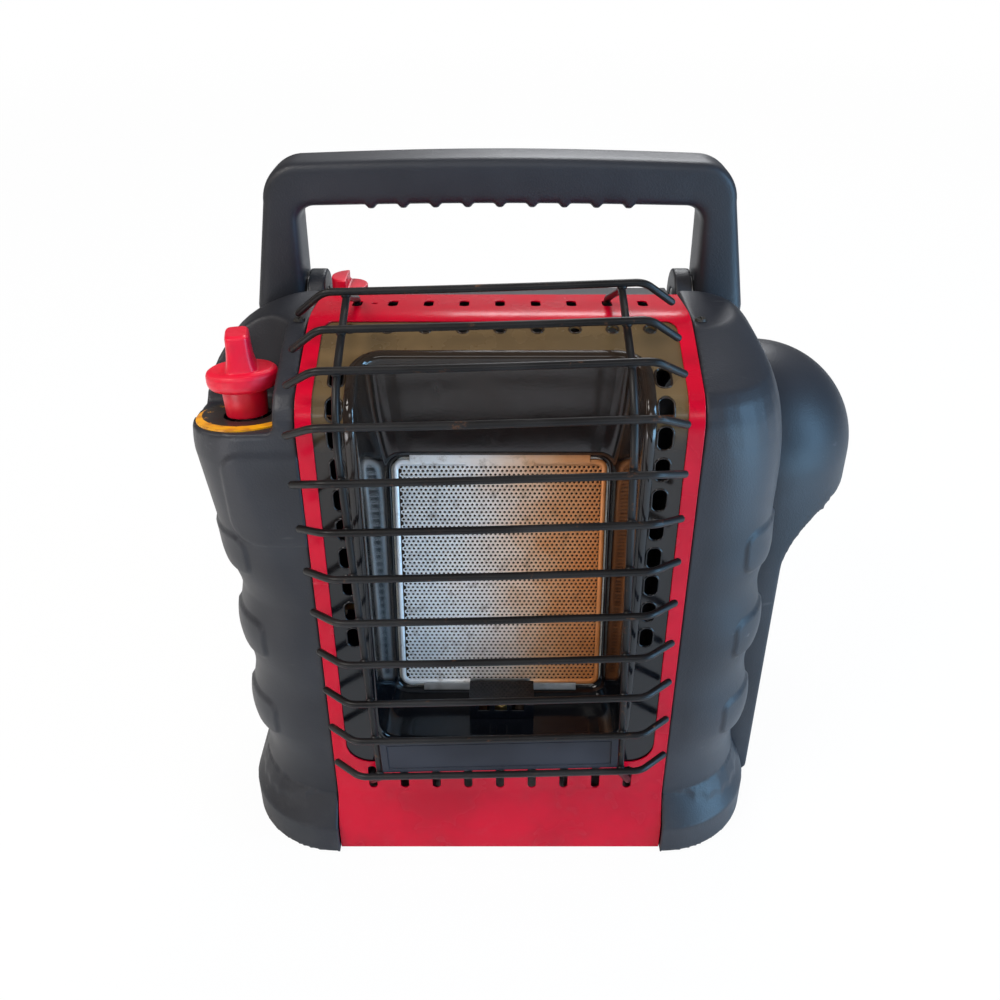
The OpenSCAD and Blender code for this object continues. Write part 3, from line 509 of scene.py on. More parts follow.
class Slot(Enum):
    """The record's material slots, each with its finish."""

    red_enamel = PowderCoat("red_enamel", (0.6, 0.001, 0.021))
    black_enamel = VitreousEnamel("black_enamel", (0.003, 0.0035, 0.005))
    charcoal_plastic = GrainedPlastic("charcoal_plastic", (0.0135, 0.014, 0.018))
    red_plastic = GlossPlastic("red_plastic", (0.76, 0.002, 0.03))
    dial_print = DialPrint("dial_print", (0.9, 0.42, 0.01))
    # its straw and bronze on the right are partly heat tint, partly a painted warm reflection
    stainless = HeatTintAndReflectionScreen("stainless", (0.93, 0.94, 0.96))
    steel = BareMetal("steel", (0.62, 0.61, 0.6))
    galvanised = BareMetal("galvanised", (0.5, 0.51, 0.52), 0.42, (0.3, 0.26, 0.22), (1, 1, 1), 160)
    guard_wire = CoatedWire("guard_wire", (0.006, 0.005, 0.005), spread=0.6)
    guard_plate = CoatedWire("guard_plate", (0.011, 0.012, 0.018), spread=0.68)
    # dark brown tile: partly the tile's own colour, partly painted shade seen through the screen's holes
    ceramic = Mineral("ceramic", (0.05, 0.03, 0.018))
    gasket = Mineral("gasket", (0.75, 0.73, 0.68), 2600, 0.0004)
    brass = BareMetal("brass", (0.72, 0.5, 0.2), 0.3, (0.35, 0.2, 0.08))
    copper = BareMetal("copper", (0.72, 0.34, 0.19), 0.28, (0.3, 0.12, 0.07))
    cast_alloy = BareMetal("cast_alloy", (0.58, 0.59, 0.61), 0.5, (0.35, 0.34, 0.33), (1, 1, 1), 700)
    rubber = SoftRubber("rubber", (0.02, 0.02, 0.021))
    lead = SoftRubber("lead", (0.45, 0.08, 0.03))

    @property
    def material(self) -> bpy.types.Material:
        """The slot's material."""
        return self.value.material()


# ------------------------------------------------------------------ meshes

def unit(vectors: np.ndarray) -> np.ndarray:
    """Vectors of length 1 along the last axis."""
    return vectors / np.maximum(np.linalg.norm(vectors, axis=-1, keepdims=True), 1e-12)


def smooth(t: np.ndarray) -> np.ndarray:
    """3t^2 - 2t^3 for t from 0 to 1, flat beyond."""
    u = np.clip(t, 0, 1)
    return u * u * (3 - 2 * u)


def ramp(a: float, b: float, t: np.ndarray) -> np.ndarray:
    """From a to b as t goes from 0 to 1."""
    return a + (b - a) * np.clip(t, 0, 1)


def grid_faces(rows: int, cols: int, wrap: bool) -> np.ndarray:
    """Quads between the neighbouring points of a grid; wrap joins its last column to its first."""
    i = np.arange(rows - 1)[:, None]
    j = np.arange(cols if wrap else cols - 1)[None, :]
    k = (j + 1) % cols
    return np.stack(np.broadcast_arrays(i * cols + j, i * cols + k, (i + 1) * cols + k,
                                        (i + 1) * cols + j), -1).reshape(-1, 4)


def rounded_path(points: np.ndarray, radius: float, steps: int = 8) -> np.ndarray:
    """A path whose corners are quadratic curves that start radius before each inner point.

    Args:
        points: The path's corner points, (n, 3).
        radius: Where a corner's curve starts and ends, from the corner.
        steps: Pieces of each curve.

    Returns:
        The finer path.
    """
    before, corner, after = points[:-2, None], points[1:-1, None], points[2:, None]
    t = np.linspace(0, 1, steps + 1)[None, :, None]
    start = corner + unit(before - corner) * radius
    end = corner + unit(after - corner) * radius
    bends = (1 - t) ** 2 * start + 2 * t * (1 - t) * corner + t * t * end
    return np.concatenate([points[:1], bends.reshape(-1, 3), points[-1:]])


def swept_tube(path: np.ndarray, radius: float, sides: int = 14, cap: int = 4) -> np.ndarray:
    """Rings of a round tube along a path, with half-round ends.

    Each ring is a circle across the path's direction; the ends' rings shrink as a sphere's do.

    Args:
        path: Points along the tube's middle, (n, 3).
        radius: The tube's radius.
        sides: Points round a ring.
        cap: Rings in each end.

    Returns:
        A grid of points, (rings, sides, 3).
    """
    turn = np.radians(np.linspace(88, 0, cap + 1)[:-1])
    first, last = unit(path[0] - path[1]), unit(path[-1] - path[-2])
    head = path[0] + first * radius * np.sin(turn)[:, None]
    tail = path[-1] + last * radius * np.sin(turn[::-1])[:, None]
    middle = np.concatenate([head, path, tail])
    radii = radius * np.concatenate([np.cos(turn), np.ones(len(path)), np.cos(turn[::-1])])
    along = unit(np.gradient(middle, axis=0))
    side = unit(np.cross(along, [0.31, 0.52, 0.8]))
    up = np.cross(along, side)
    a = np.linspace(0, 2 * np.pi, sides, endpoint=False)[None, :, None]
    return middle[:, None] + radii[:, None, None] * (np.cos(a) * side[:, None] + np.sin(a) * up[:, None])


@dataclass(frozen=True)
class Seat:
    """Where the build frame's zero stands in the row frame, in millimetres."""

    x: float
    y: float
    z: float = 9.0

    @classmethod
    def from_panel(cls, lip: float = 8.5) -> "Seat":
        """Finds the build frame from the front panel, whose lower lip stands forward by lip."""
        low, high = (np.array(corner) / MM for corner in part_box("front_panel"))
        return cls((low[0] + high[0]) / 2, low[1] + lip)

    def place(self, points: np.ndarray) -> np.ndarray:
        """Build millimetres to the row frame's metres."""
        return (np.asarray(points, float) + [self.x, self.y, self.z]) * MM

    def back(self, points: np.ndarray) -> np.ndarray:
        """The row frame's metres to build millimetres."""
        return np.asarray(points, float) / MM - [self.x, self.y, self.z]


class Workshop:
    """Makes, dresses and reports the heater's pieces."""

    def __init__(self, frame: dict) -> None:
        """Reads the frame's nodes and which slot each takes, and seats the build frame on the front panel."""
        self.nodes = frame["nodes"]
        self.slots = {row["node"]: Slot[row["material_slot"]] for row in frame["record"]["subparts"]}
        self.seat = Seat.from_panel()

    def piece(self, name: str, grids: list[np.ndarray], slot: Slot, body: str, *replaced: str,
              wrap: bool = True, closed: bool = True) -> bpy.types.Object:
        """A new piece from grids of points in build millimetres.

        Args:
            name: The piece's name.
            grids: Arrays of (rows, columns, 3).
            slot: The finish it takes.
            body: The CAD body that carries it.
            replaced: CAD nodes that it stands for.
            wrap: Whether each grid's last column joins its first.
            closed: Whether the first and last rows are closed with a face.

        Returns:
            The finished object.
        """
        points, faces, start = [], [], 0
        for grid in grids:
            rows, cols = grid.shape[:2]
            points.append(grid.reshape(-1, 3))
            faces += (grid_faces(rows, cols, wrap) + start).tolist()
            if closed:
                faces += [list(range(start, start + cols)),
                          list(range(start + (rows - 1) * cols, start + rows * cols))]
            start += rows * cols
        mesh = bpy.data.meshes.new(name)
        mesh.from_pydata(self.seat.place(np.concatenate(points)).tolist(), [], faces)
        obj = self.linked(name, mesh)
        self.tidy(obj, 0.00001)
        return self.hand_over(obj, slot, body, *replaced)

    def fused(self, name: str, grids: list[np.ndarray], voxel: float, relax: int, slot: Slot, body: str,
              *replaced: str) -> bpy.types.Object:
        """A new piece whose overlapping closed grids are melted into one skin with soft joins."""
        obj = self.piece(name, grids, slot, body, *replaced)
        self.remesh(obj, voxel, relax)
        obj.data.materials.clear()
        obj.data.materials.append(slot.material)
        return obj

    def remesh(self, obj: bpy.types.Object, voxel: float, relax: int) -> None:
        """Replaces a piece's mesh by an even one, voxel millimetres apart and relaxed that many times."""
        even = obj.modifiers.new("even", "REMESH")
        even.mode, even.voxel_size = "VOXEL", voxel * MM
        ease = obj.modifiers.new("ease", "SMOOTH")
        ease.factor, ease.iterations = 0.5, relax
        made = bpy.data.meshes.new_from_object(obj.evaluated_get(bpy.context.evaluated_depsgraph_get()))
        obj.modifiers.clear()
        obj.data = made
        made.shade_smooth()

    def linked(self, name: str, mesh: bpy.types.Mesh) -> bpy.types.Object:
        """An object of that mesh, in the scene."""
        obj = bpy.data.objects.new(name, mesh)
        bpy.context.scene.collection.objects.link(obj)
        return obj

    def tidy(self, obj: bpy.types.Object, distance: float, flat: float = 0.0) -> None:
        """Merges doubles, joins flat neighbours within an angle, and turns the faces outwards."""
        work = bmesh.new()
        work.from_mesh(obj.data)
        bmesh.ops.remove_doubles(work, verts=work.verts, dist=distance)
        bmesh.ops.dissolve_degenerate(work, edges=work.edges, dist=distance)
        if flat > 0:
            bmesh.ops.dissolve_limit(work, angle_limit=flat, verts=work.verts, edges=work.edges)
        bmesh.ops.recalc_face_normals(work, faces=work.faces)
        work.to_mesh(obj.data)
        work.free()
        obj.data.shade_smooth()

    def hand_over(self, obj: bpy.types.Object, slot: Slot, body: str, *replaced: str) -> bpy.types.Object:
        """Gives a piece its finish and its body, and hides the CAD nodes that it stands for."""
        obj.data.materials.clear()
        obj.data.materials.append(slot.material)
        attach(obj, body)
        if replaced:
            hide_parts(*replaced)
        log.info("%s: %d vertices on %s", obj.name, len(obj.data.vertices), body)
        return obj

    def copied(self, node: str, name: str, flat: float = 0.0) -> bpy.types.Object:
        """A merged copy of a CAD node's mesh."""
        obj = self.linked(name, self.nodes[node].data.copy())
        for attribute in [a.name for a in obj.data.attributes if a.name == "custom_normal"]:
            obj.data.attributes.remove(obj.data.attributes[attribute])
        self.tidy(obj, 0.000004, flat)
        return obj

    def machined(self, node: str, bevel: float, segments: int = 2) -> bpy.types.Object:
        """A CAD node as a piece with small bevels on its sharp edges.

        Args:
            node: The node.
            bevel: The bevel's width, in millimetres.
            segments: Faces across a bevel.

        Returns:
            The finished object.
        """
        obj = self.copied(node, f"{node}_finished", math.radians(0.3))
        edge = obj.modifiers.new("edges", "BEVEL")
        edge.width, edge.segments = bevel * MM, segments
        edge.limit_method, edge.angle_limit = "ANGLE", math.radians(32)
        edge.use_clamp_overlap, edge.harden_normals = False, True
        return self.hand_over(obj, self.slots[node], body_of(self.nodes[node])[0], node)

    def moulded(self, node: str, name: str, voxel: float, relax: int) -> bpy.types.Object:
        """A CAD node remeshed evenly and relaxed, so that its edges are round as a moulding's.

        Args:
            node: The node.
            name: The piece's name.
            voxel: The new mesh's spacing, in millimetres.
            relax: Rounds of smoothing.

        Returns:
            The finished object.
        """
        obj = self.copied(node, name)
        self.remesh(obj, voxel, relax)
        return self.hand_over(obj, self.slots[node], body_of(self.nodes[node])[0], node)

    def points(self, mesh: bpy.types.Mesh) -> np.ndarray:
        """A mesh's vertices, in build millimetres."""
        flat = np.empty(len(mesh.vertices) * 3)
        mesh.vertices.foreach_get("co", flat)
        return self.seat.back(flat.reshape(-1, 3))

    def reshape(self, obj: bpy.types.Object, change: Callable[[np.ndarray, np.ndarray], np.ndarray]) -> None:
        """Moves a piece's vertices.

        Args:
            obj: The piece.
            change: A function of (points, normals), in build millimetres, that returns the new points.
        """
        normals = np.empty(len(obj.data.vertices) * 3)
        obj.data.vertex_normals.foreach_get("vector", normals)
        moved = change(self.points(obj.data), normals.reshape(-1, 3))
        obj.data.vertices.foreach_set("co", self.seat.place(moved).ravel())
        obj.data.update()

    def dress_rest(self) -> None:
        """Gives every CAD node that still shows its slot's material."""
        for name, obj in self.nodes.items():
            obj.data.materials.clear()
            obj.data.materials.append(self.slots[name].material)


# ------------------------------------------------------------------ wire guard

@dataclass
class WireGuard:
    """Cross wires with bent tips on two uprights that hook into the panel."""

    wire: float = 3.8
    gap: float = 28.0
    count: int = 12
    first: float = 77.0
    pitch: float = 27.2
    lean: float = 1.8
    bend_z: float = 275.0
    bend_r: float = 45.0
    bend_turn: float = 70.0
    upright_x: float = 67.5
    run_x: float = 74.0
    tip_bend: float = 12.0
    tip_turn: float = 40.0
    tip_len: float = 14.0
    slot_pitch: float = 19.05
    top_slot: tuple[float, float] = (87.0, 303.0)
    low_slot: tuple[float, float] = (6.0, 46.0)

    def face(self, s: np.ndarray, out: float = 0.0) -> tuple[np.ndarray, np.ndarray]:
        """The guard's profile: straight up to bend_z, then an arc, then a slope.

        Args:
            s: Lengths along the profile.
            out: Distance behind it.

        Returns:
            Depths y and heights z.
        """
        a = np.radians(np.clip((s - self.bend_z) / self.bend_r * 180 / np.pi, 0, self.bend_turn))
        straight = np.minimum(s, self.bend_z)
        beyond = np.maximum(s - self.bend_z - np.radians(self.bend_turn) * self.bend_r, 0)
        y = -self.gap + self.bend_r * (1 - np.cos(a)) + beyond * np.sin(a)
        z = straight + self.bend_r * np.sin(a) + beyond * np.cos(a)
        return y + out * np.cos(a), z - out * np.sin(a)

    def leaned(self, points: np.ndarray) -> np.ndarray:
        """Points turned sideways about the lowest wire."""
        a = np.radians(self.lean)
        h = points[..., 2] - self.first
        return np.stack([points[..., 0] * np.cos(a) - h * np.sin(a), points[..., 1],
                         self.first + points[..., 0] * np.sin(a) + h * np.cos(a)], -1)

    def cross_wire(self, s: float) -> np.ndarray:
        """Path of one cross wire: a straight run, and tips that bend back and down by their angle."""
        down = np.radians(min(75.0, self.bend_turn * max(0.0, (s - 130) / 220) ** 1.8))
        a = np.radians(np.linspace(0, self.tip_turn, 9))
        end = np.radians(self.tip_turn)
        x = np.append(self.run_x + self.tip_bend * np.sin(a),
                      self.run_x + self.tip_bend * np.sin(end) + self.tip_len * np.cos(end))
        d = np.append(self.tip_bend * (1 - np.cos(a)),
                      self.tip_bend * (1 - np.cos(end)) + self.tip_len * np.sin(end))
        y, z = self.face(np.array(s))
        tip = np.stack([x, y + d * np.cos(down), z - d * np.sin(down)], -1)
        run = np.stack([np.linspace(-self.run_x, self.run_x, 15)[1:-1], np.full(13, y), np.full(13, z)], -1)
        # a faint sag, since hand-bent wires are never quite straight
        run[:, 2] -= 0.35 * np.cos(run[:, 0] / self.run_x * np.pi / 2)
        return np.concatenate([(tip * [-1, 1, 1])[::-1], run, tip])

    def upright(self, side: int, hook_x: float) -> np.ndarray:
        """Path of one upright, from its lower hook over the bend to its upper hook."""
        last = self.first + (self.count - 1) * self.pitch
        s = np.concatenate([[self.first - 4, 150, 220], np.linspace(self.bend_z - 8, last, 24)])
        y, z = self.face(s, self.wire - 0.3)
        middle = self.leaned(np.stack([np.full(len(s), side * self.upright_x), y, z], -1))
        low_x = side * 4 * self.slot_pitch
        low = np.array([[low_x, self.low_slot[0], self.low_slot[1]], [low_x, -4.0, self.low_slot[1]]])
        high = np.array([[hook_x, self.top_slot[0], 312.0], [hook_x, self.top_slot[0], self.top_slot[1]]])
        foot = rounded_path(np.concatenate([low, middle[:2]]), 4.0)[:-1]
        head = rounded_path(np.concatenate([middle[-2:], high]), 4.0)[1:]
        return np.concatenate([foot, middle[1:-1], head])

    def welds(self) -> list[np.ndarray]:
        """Small flattened beads where the wires cross: squashed spheres around each joint."""
        s = self.first + self.pitch * np.arange(self.count)
        y, z = self.face(s, (self.wire - 0.3) / 2)
        v = np.linspace(-np.pi / 2, np.pi / 2, 7)[:, None]
        u = np.linspace(0, 2 * np.pi, 10, endpoint=False)[None]
        ball = np.stack(np.broadcast_arrays(2.7 * np.cos(v) * np.cos(u), 2.1 * np.cos(v) * np.sin(u),
                                            2.5 * np.sin(v)), -1)
        return [self.leaned(ball + [side * self.upright_x, y[i], z[i]])
                for i in range(self.count) for side in (-1, 1)]

    def build(self, shop: Workshop) -> None:
        """Makes the guard and its plate."""
        r = self.wire / 2
        wires = [swept_tube(self.leaned(self.cross_wire(self.first + i * self.pitch)), r)
                 for i in range(self.count)]
        hooks = {-1: -4 * self.slot_pitch, 1: 3 * self.slot_pitch}
        wires += [swept_tube(self.upright(side, x), r) for side, x in hooks.items()]
        shop.piece("guard_wires", wires + self.welds(), Slot.guard_wire, "shell", "wire_guard")
        shop.machined("guard_plate", 0.5, segments=3)


# ------------------------------------------------------------------ handle

@dataclass
class CarryHandle:
    """Bow-shaped grip between two legs that turn on the pivots."""

    pivot: tuple[float, float] = (131.0, 297.0)
    leg_in: float = 109.8
    leg_out: float = 137.5
    leg_r: float = 17.0
    top: float = 378.0
    low: float = 353.0
    arch: float = 2.4
    outer_r: float = 21.0
    inner_r: float = 9.0
    grip_depth: float = 15.0
    squareness: float = 5.0
    ridges: int = 9
    ridge_pitch: float = 17.4
    ridge_r: float = 2.2

    def edges(self) -> tuple[np.ndarray, np.ndarray, np.ndarray]:
        """The bow's outer and inner edge for the right half, and its half depth.

        Returns:
            Outer points (x, z), inner points (x, z) and half depths, from the leg's end to the middle.
        """
        z0 = self.pivot[1]
        end = np.radians(np.linspace(89, 0, 14))
        foot_z = z0 - self.leg_r * np.sin(end)
        foot_out = np.stack([np.full(14, self.leg_out), foot_z], -1)
        foot_in = np.stack([np.full(14, self.leg_in), foot_z], -1)
        t = np.linspace(0, 1, 26)[1:-1, None]
        shoulder = self.top - self.arch - self.outer_r
        top_x = self.leg_out - 9.4
        leg_out = (1 - t) * [self.leg_out, z0] + t * [top_x, shoulder]
        leg_in = (1 - t) * [self.leg_in, z0] + t * [self.leg_in - 0.4, self.low - self.inner_r - 1.2]
        a = np.linspace(0, np.pi / 2, 16)
        turn_out = np.stack([top_x - self.outer_r * (1 - np.cos(a)), shoulder + self.outer_r * np.sin(a)], -1)
        turn_in = np.stack([self.leg_in - 0.4 - self.inner_r * (1 - np.cos(a)),
                            self.low - self.inner_r - 1.2 + self.inner_r * np.sin(a)], -1)
        u = np.linspace(0, 1, 110)[1:, None]
        rise = np.sin(u * np.pi / 2)
        grip_out = np.concatenate([turn_out[-1, 0] * (1 - u), self.top - self.arch * (1 - rise)], -1)
        grip_in = np.concatenate([turn_in[-1, 0] * (1 - u), self.low - 1.2 * (1 - rise)], -1)
        depth = np.concatenate([self.leg_r * np.cos(end), self.leg_r - 1.4 * smooth(t[:, 0]),
                                np.linspace(self.leg_r - 1.4, self.grip_depth, 16),
                                np.full(109, self.grip_depth)])
        return (np.concatenate([foot_out, leg_out, turn_out, grip_out]),
                np.concatenate([foot_in, leg_in, turn_in, grip_in]), depth)

    def section_grid(self) -> np.ndarray:
        """The handle's skin: at each station a superellipse between its outer and inner edge."""
        outer, inner, depth = self.edges()
        flip = np.array([-1, 1])
        outer = np.concatenate([outer, (outer * flip)[-2::-1]])
        inner = np.concatenate([inner, (inner * flip)[-2::-1]])
        depth = np.concatenate([depth, depth[-2::-1]])
        a = np.linspace(0, 2 * np.pi, 56, endpoint=False)
        power = 2 / self.squareness
        c = np.sign(np.cos(a)) * np.abs(np.cos(a)) ** power
        s = np.sign(np.sin(a)) * np.abs(np.sin(a)) ** power
        middle, half = (outer + inner) / 2, (outer - inner) / 2
        flat = middle[:, None] + half[:, None] * c[None, :, None]
        y = self.pivot[0] + depth[:, None] * s[None]
        grid = np.stack([flat[..., 0], y, flat[..., 1]], -1)
        return self.ridged(grid, c)

    def ridged(self, grid: np.ndarray, c: np.ndarray) -> np.ndarray:
        """Lowers the grip's underside along rounded bars across it, for the fingers."""
        x = grid[..., 0]
        bar = np.round(x / self.ridge_pitch)
        off = (x - bar * self.ridge_pitch) / (self.ridge_r * 1.15)
        inside = (np.abs(bar) <= self.ridges // 2) & (grid[..., 2] > self.low - 3)
        under = smooth((-c[None] - 0.55) / 0.3)
        drop = self.ridge_r * np.exp(-off ** 4) * np.where(inside, under, 0)
        grid[..., 2] -= drop
        return grid

    def build(self, shop: Workshop) -> None:
        """Makes the handle and the bosses that carry it."""
        shop.piece("carry_handle", [self.section_grid()], Slot.charcoal_plastic, "handle", "handle")
        for side in ("left", "right"):
            shop.moulded(f"{side}_pivot_boss", f"{side}_boss_moulding", 0.8, 5)
        for node in ("handle_pins", "handle_washers"):
            shop.machined(node, 0.4)


# ------------------------------------------------------------------ reflector and burner

@dataclass
class SheetProfile:
    """The front panel's outer face in the (y, z) plane, by the length s along it."""

    bend_z: float = 275.0
    bend_r: float = 20.0
    turn: float = 70.0

    def at(self, s: np.ndarray, depth: float) -> tuple[np.ndarray, np.ndarray]:
        """Points depth behind the face: straight up, an arc of bend_r, then a straight slope."""
        a = np.radians(np.clip((s - self.bend_z) / self.bend_r * 180 / np.pi, 0, self.turn))
        beyond = np.maximum(s - self.bend_z - np.radians(self.turn) * self.bend_r, 0)
        y = self.bend_r * (1 - np.cos(a)) + beyond * np.sin(a)
        z = np.minimum(s, self.bend_z) + self.bend_r * np.sin(a) + beyond * np.cos(a)
        return y + depth * np.cos(a), z - depth * np.sin(a)

    def depth(self, points: np.ndarray) -> np.ndarray:
        """How far each point (x, y, z) lies behind the outer face."""
        r, a = self.bend_r, np.radians(self.turn)
        y, z = points[:, 1], points[:, 2] - self.bend_z
        sloped = (y - r) * np.cos(a) - z * np.sin(a) + r
        on_slope = (y > r * (1 - np.cos(a))) | (z > r * np.sin(a) + 5)
        return np.where(z < 0, y, np.where(on_slope, sloped, r - np.hypot(y - r, z)))


def rounded_loop(half_w: float, half_h: float, radius: float) -> np.ndarray:
    """A rounded rectangle round zero, with the same number of points on each side and corner.

    Args:
        half_w: Half its width.
        half_h: Half its height.
        radius: Its corners' radius.

    Returns:
        Points (n, 2), anticlockwise from the right side's lower end.
    """
    w, h = half_w - radius, half_h - radius
    t = np.linspace(-1, 1, 26, endpoint=False)[:, None]
    a = np.linspace(0, np.pi / 2, 10, endpoint=False)[:, None]
    rows = []
    for k, (cx, cy) in enumerate(((w, h), (-w, h), (-w, -h), (w, -h))):
        turn = a + k * np.pi / 2
        side = (h, w, h, w)[k]
        start = np.array([[half_w, 0], [0, half_h], [-half_w, 0], [0, -half_h]][k])
        along = np.array([[0, 1], [-1, 0], [0, -1], [1, 0]][k])
        rows += [start + along * t * side,
                 np.concatenate([cx + radius * np.cos(turn), cy + radius * np.sin(turn)], -1)]
    return np.concatenate(rows)


@dataclass
class Burner:
    """The enamelled pan, the burner screen and its clips."""

    centre: tuple[float, float] = (47.0, 158.0)
    lean: float = 10.0
    mouth_x: float = 70.0
    mouth_s: tuple[float, float] = (75.0, 322.0)
    mouth_r: float = 12.0
    back: tuple[float, float] = (63.6, 76.2)
    back_r: float = 9.0
    flange_depth: float = 1.2
    sheet_back: float = 2.6
    slot: tuple[float, float] = (7.0, 12.5)
    slot_x: float = 79.5
    hole_step: float = 19.05
    hole_s: float = 342.9
    hole_open_r: float = 2.6
    rim_r: float = 0.55
    # the rolled lip's section: how far outside the mouth, and how far above the flange
    bead: tuple[tuple[float, float], ...] = (
        (4.6, 0.1), (4.0, 0.32), (3.2, 0.75), (2.2, 1.0), (1.2, 0.95), (0.4, 0.45), (-0.2, -0.6), (-0.4, -2.0))
    screen: tuple[float, float] = (59.5, 72.0)
    screen_r: float = 5.0
    hole_pitch: float = 2.6
    hole_r: float = 0.84
    screen_t: float = 0.7
    profile: SheetProfile = field(default_factory=SheetProfile)

    def on_burner(self, local: np.ndarray) -> np.ndarray:
        """Points in the burner's leaning frame (x, out of its face, up it) to the build frame."""
        a = np.radians(-self.lean)
        y, z = local[..., 1], local[..., 2]
        return np.stack([local[..., 0], self.centre[0] + y * np.cos(a) - z * np.sin(a),
                         self.centre[1] + y * np.sin(a) + z * np.cos(a)], -1)

    def pan_grid(self) -> np.ndarray:
        """The pan's inner face, from its rolled lip on the bent flange to the burner.

        Walls run from the mouth's loop to the back's loop along a line that bulges outwards, and
        end in a small fillet and a narrow step behind the screen.
        """
        low, high = self.mouth_s
        mouth = rounded_loop(self.mouth_x, (high - low) / 2, self.mouth_r)
        back = rounded_loop(*self.back, self.back_r)
        bead = []
        for out, rise in self.bead:
            loop = rounded_loop(self.mouth_x + out, (high - low) / 2 + out, self.mouth_r + out)
            y, z = self.profile.at(loop[:, 1] + (low + high) / 2, self.flange_depth - rise)
            bead.append(np.stack([loop[:, 0], y, z], -1))
        lip_in = bead.pop()
        rear = self.on_burner(np.stack([back[:, 0], np.full(len(back), -2.5), back[:, 1]], -1))
        rim = self.on_burner(np.stack([back[:, 0] * 0.99, np.full(len(back), 1.2), back[:, 1] * 0.992], -1))
        step = self.on_burner(np.stack([back[:, 0] * 0.955, np.full(len(back), 1.6), back[:, 1] * 0.965], -1))
        v = np.linspace(0, 1, 26)[:, None, None]
        outward = unit(np.stack([back[:, 0], np.zeros(len(back)), back[:, 1]], -1))
        walls = (1 - v) * lip_in + v * rear + 2.2 * np.sin(np.pi * v) * outward
        curve = np.linspace(0, 1, 6)[1:, None, None]
        fillet = (1 - curve) ** 2 * rear + 2 * curve * (1 - curve) * rim + curve ** 2 * step
        return np.concatenate([np.stack(bead), walls, fillet])

    def flange(self, shop: Workshop) -> None:
        """The pierced flange: the CAD pan's sheet without its deep part, which the new pan replaces."""
        obj = shop.copied("reflector", "reflector_flange")
        points = shop.points(obj.data)
        obj.data.calc_loop_triangles()
        corners = np.empty(len(obj.data.loop_triangles) * 3, np.int32)
        obj.data.loop_triangles.foreach_get("vertices", corners)
        faces = corners.reshape(-1, 3)
        faces = faces[(self.profile.depth(points) <= self.sheet_back)[faces].all(1)]
        kept, faces = np.unique(faces, return_inverse=True)
        sheet = bpy.data.meshes.new("reflector_flange")
        sheet.from_pydata(shop.seat.place(points[kept]).tolist(), [], faces.reshape(-1, 3).tolist())
        sheet.shade_smooth()
        sheet.set_sharp_from_angle(angle=math.radians(32))
        obj.data = sheet
        shop.hand_over(obj, Slot.black_enamel, "shell")
        black = Slot.black_enamel.value.colour
        obj.data.materials[0] = VitreousEnamel("flange_enamel", black, haze=(0.02, 0.013, 0.009),
                                               brown=(0.17, 0.105, 0.045), start=0.15, full=0.302,
                                               dull=0.1, baked=0.16).material()

    def slot_rims(self) -> list[np.ndarray]:
        """Raised, rounded rims round the flange's oblong slots and its top row of round holes."""
        a = np.linspace(0, 2 * np.pi, 40, endpoint=False)
        turn = np.linspace(0, 2 * np.pi, 8, endpoint=False)
        w, h = self.slot
        middles = [(side * self.slot_x, s, w / 2, (h - w) / 2) for side in (-1, 1)
                   for s in (*(150.5 + 17.5 * np.arange(8)), 288.2, 307.8)]
        middles += [(i * self.hole_step, self.hole_s, self.hole_open_r, 0.0) for i in range(-4, 5)]
        rims = []
        for x, s, r, half in middles:
            reach = r + self.rim_r * 0.8 + self.rim_r * np.cos(turn)[None]
            flat_x = x + reach * np.cos(a)[:, None]
            flat_s = s + reach * np.sin(a)[:, None] + half * np.sign(np.sin(a))[:, None]
            lift = self.flange_depth + 0.12 - self.rim_r * np.sin(turn)[None] + 0 * flat_x
            y, z = self.profile.at(flat_s, lift)
            rims.append(np.stack([flat_x, y, z], -1)[np.r_[0:40, 0]])
        return rims

    def screen_grids(self) -> list[np.ndarray]:
        """The pierced screen: six-sided cells, each with a round-edged hole, and a plain rim.

        Each cell is four rings of six points: the cell's edge, a dished shoulder, the hole's edge
        and its depth. Every second row is moved by half a pitch.
        """
        p, rise = self.hole_pitch, self.hole_pitch * np.sqrt(3) / 2
        w, h = self.screen[0] - 2.4, self.screen[1] - 3.0
        rows = np.arange(-int(h / rise), int(h / rise) + 1)
        cols = np.arange(-int(w / p), int(w / p) + 1)
        cz, cx = np.meshgrid(rows * rise, cols * p, indexing="ij")
        cx = cx + (rows[:, None] % 2) * p / 2
        keep = np.abs(cx) < w
        centres = np.stack([cx[keep], cz[keep]], -1)
        a = np.radians(30 + 60 * np.arange(6))
        radii = np.array([p / np.sqrt(3), self.hole_r * 1.25, self.hole_r, self.hole_r * 0.97])
        depth = np.array([0.0, 0.0, 0.12, self.screen_t])
        ring = radii[:, None, None] * np.stack([np.cos(a), np.sin(a)], -1)
        local = np.empty((len(centres), 4, 6, 3))
        local[..., 0] = centres[:, None, None, 0] + ring[None, ..., 0]
        local[..., 2] = centres[:, None, None, 1] + ring[None, ..., 1]
        local[..., 1] = depth[None, :, None]
        return list(self.on_burner(local))

    def rim_grid(self) -> np.ndarray:
        """The screen's plain rim: a flat frame with a rolled outer edge."""
        w, h = self.screen
        r = self.screen_r
        loops = [(w - 3.0, h - 3.6, 3.0, 0.25), (w - 3.0, h - 3.6, 3.0, -0.05),
                 (w - 0.8, h - 0.8, r, -0.1), (w, h, r, 0.25), (w, h, r, 0.9)]
        rings = []
        for half_w, half_h, turn, y in loops:
            loop = rounded_loop(half_w, half_h, turn)
            rings.append(np.stack([loop[:, 0], np.full(len(loop), y), loop[:, 1]], -1))
        return self.on_burner(np.stack(rings))

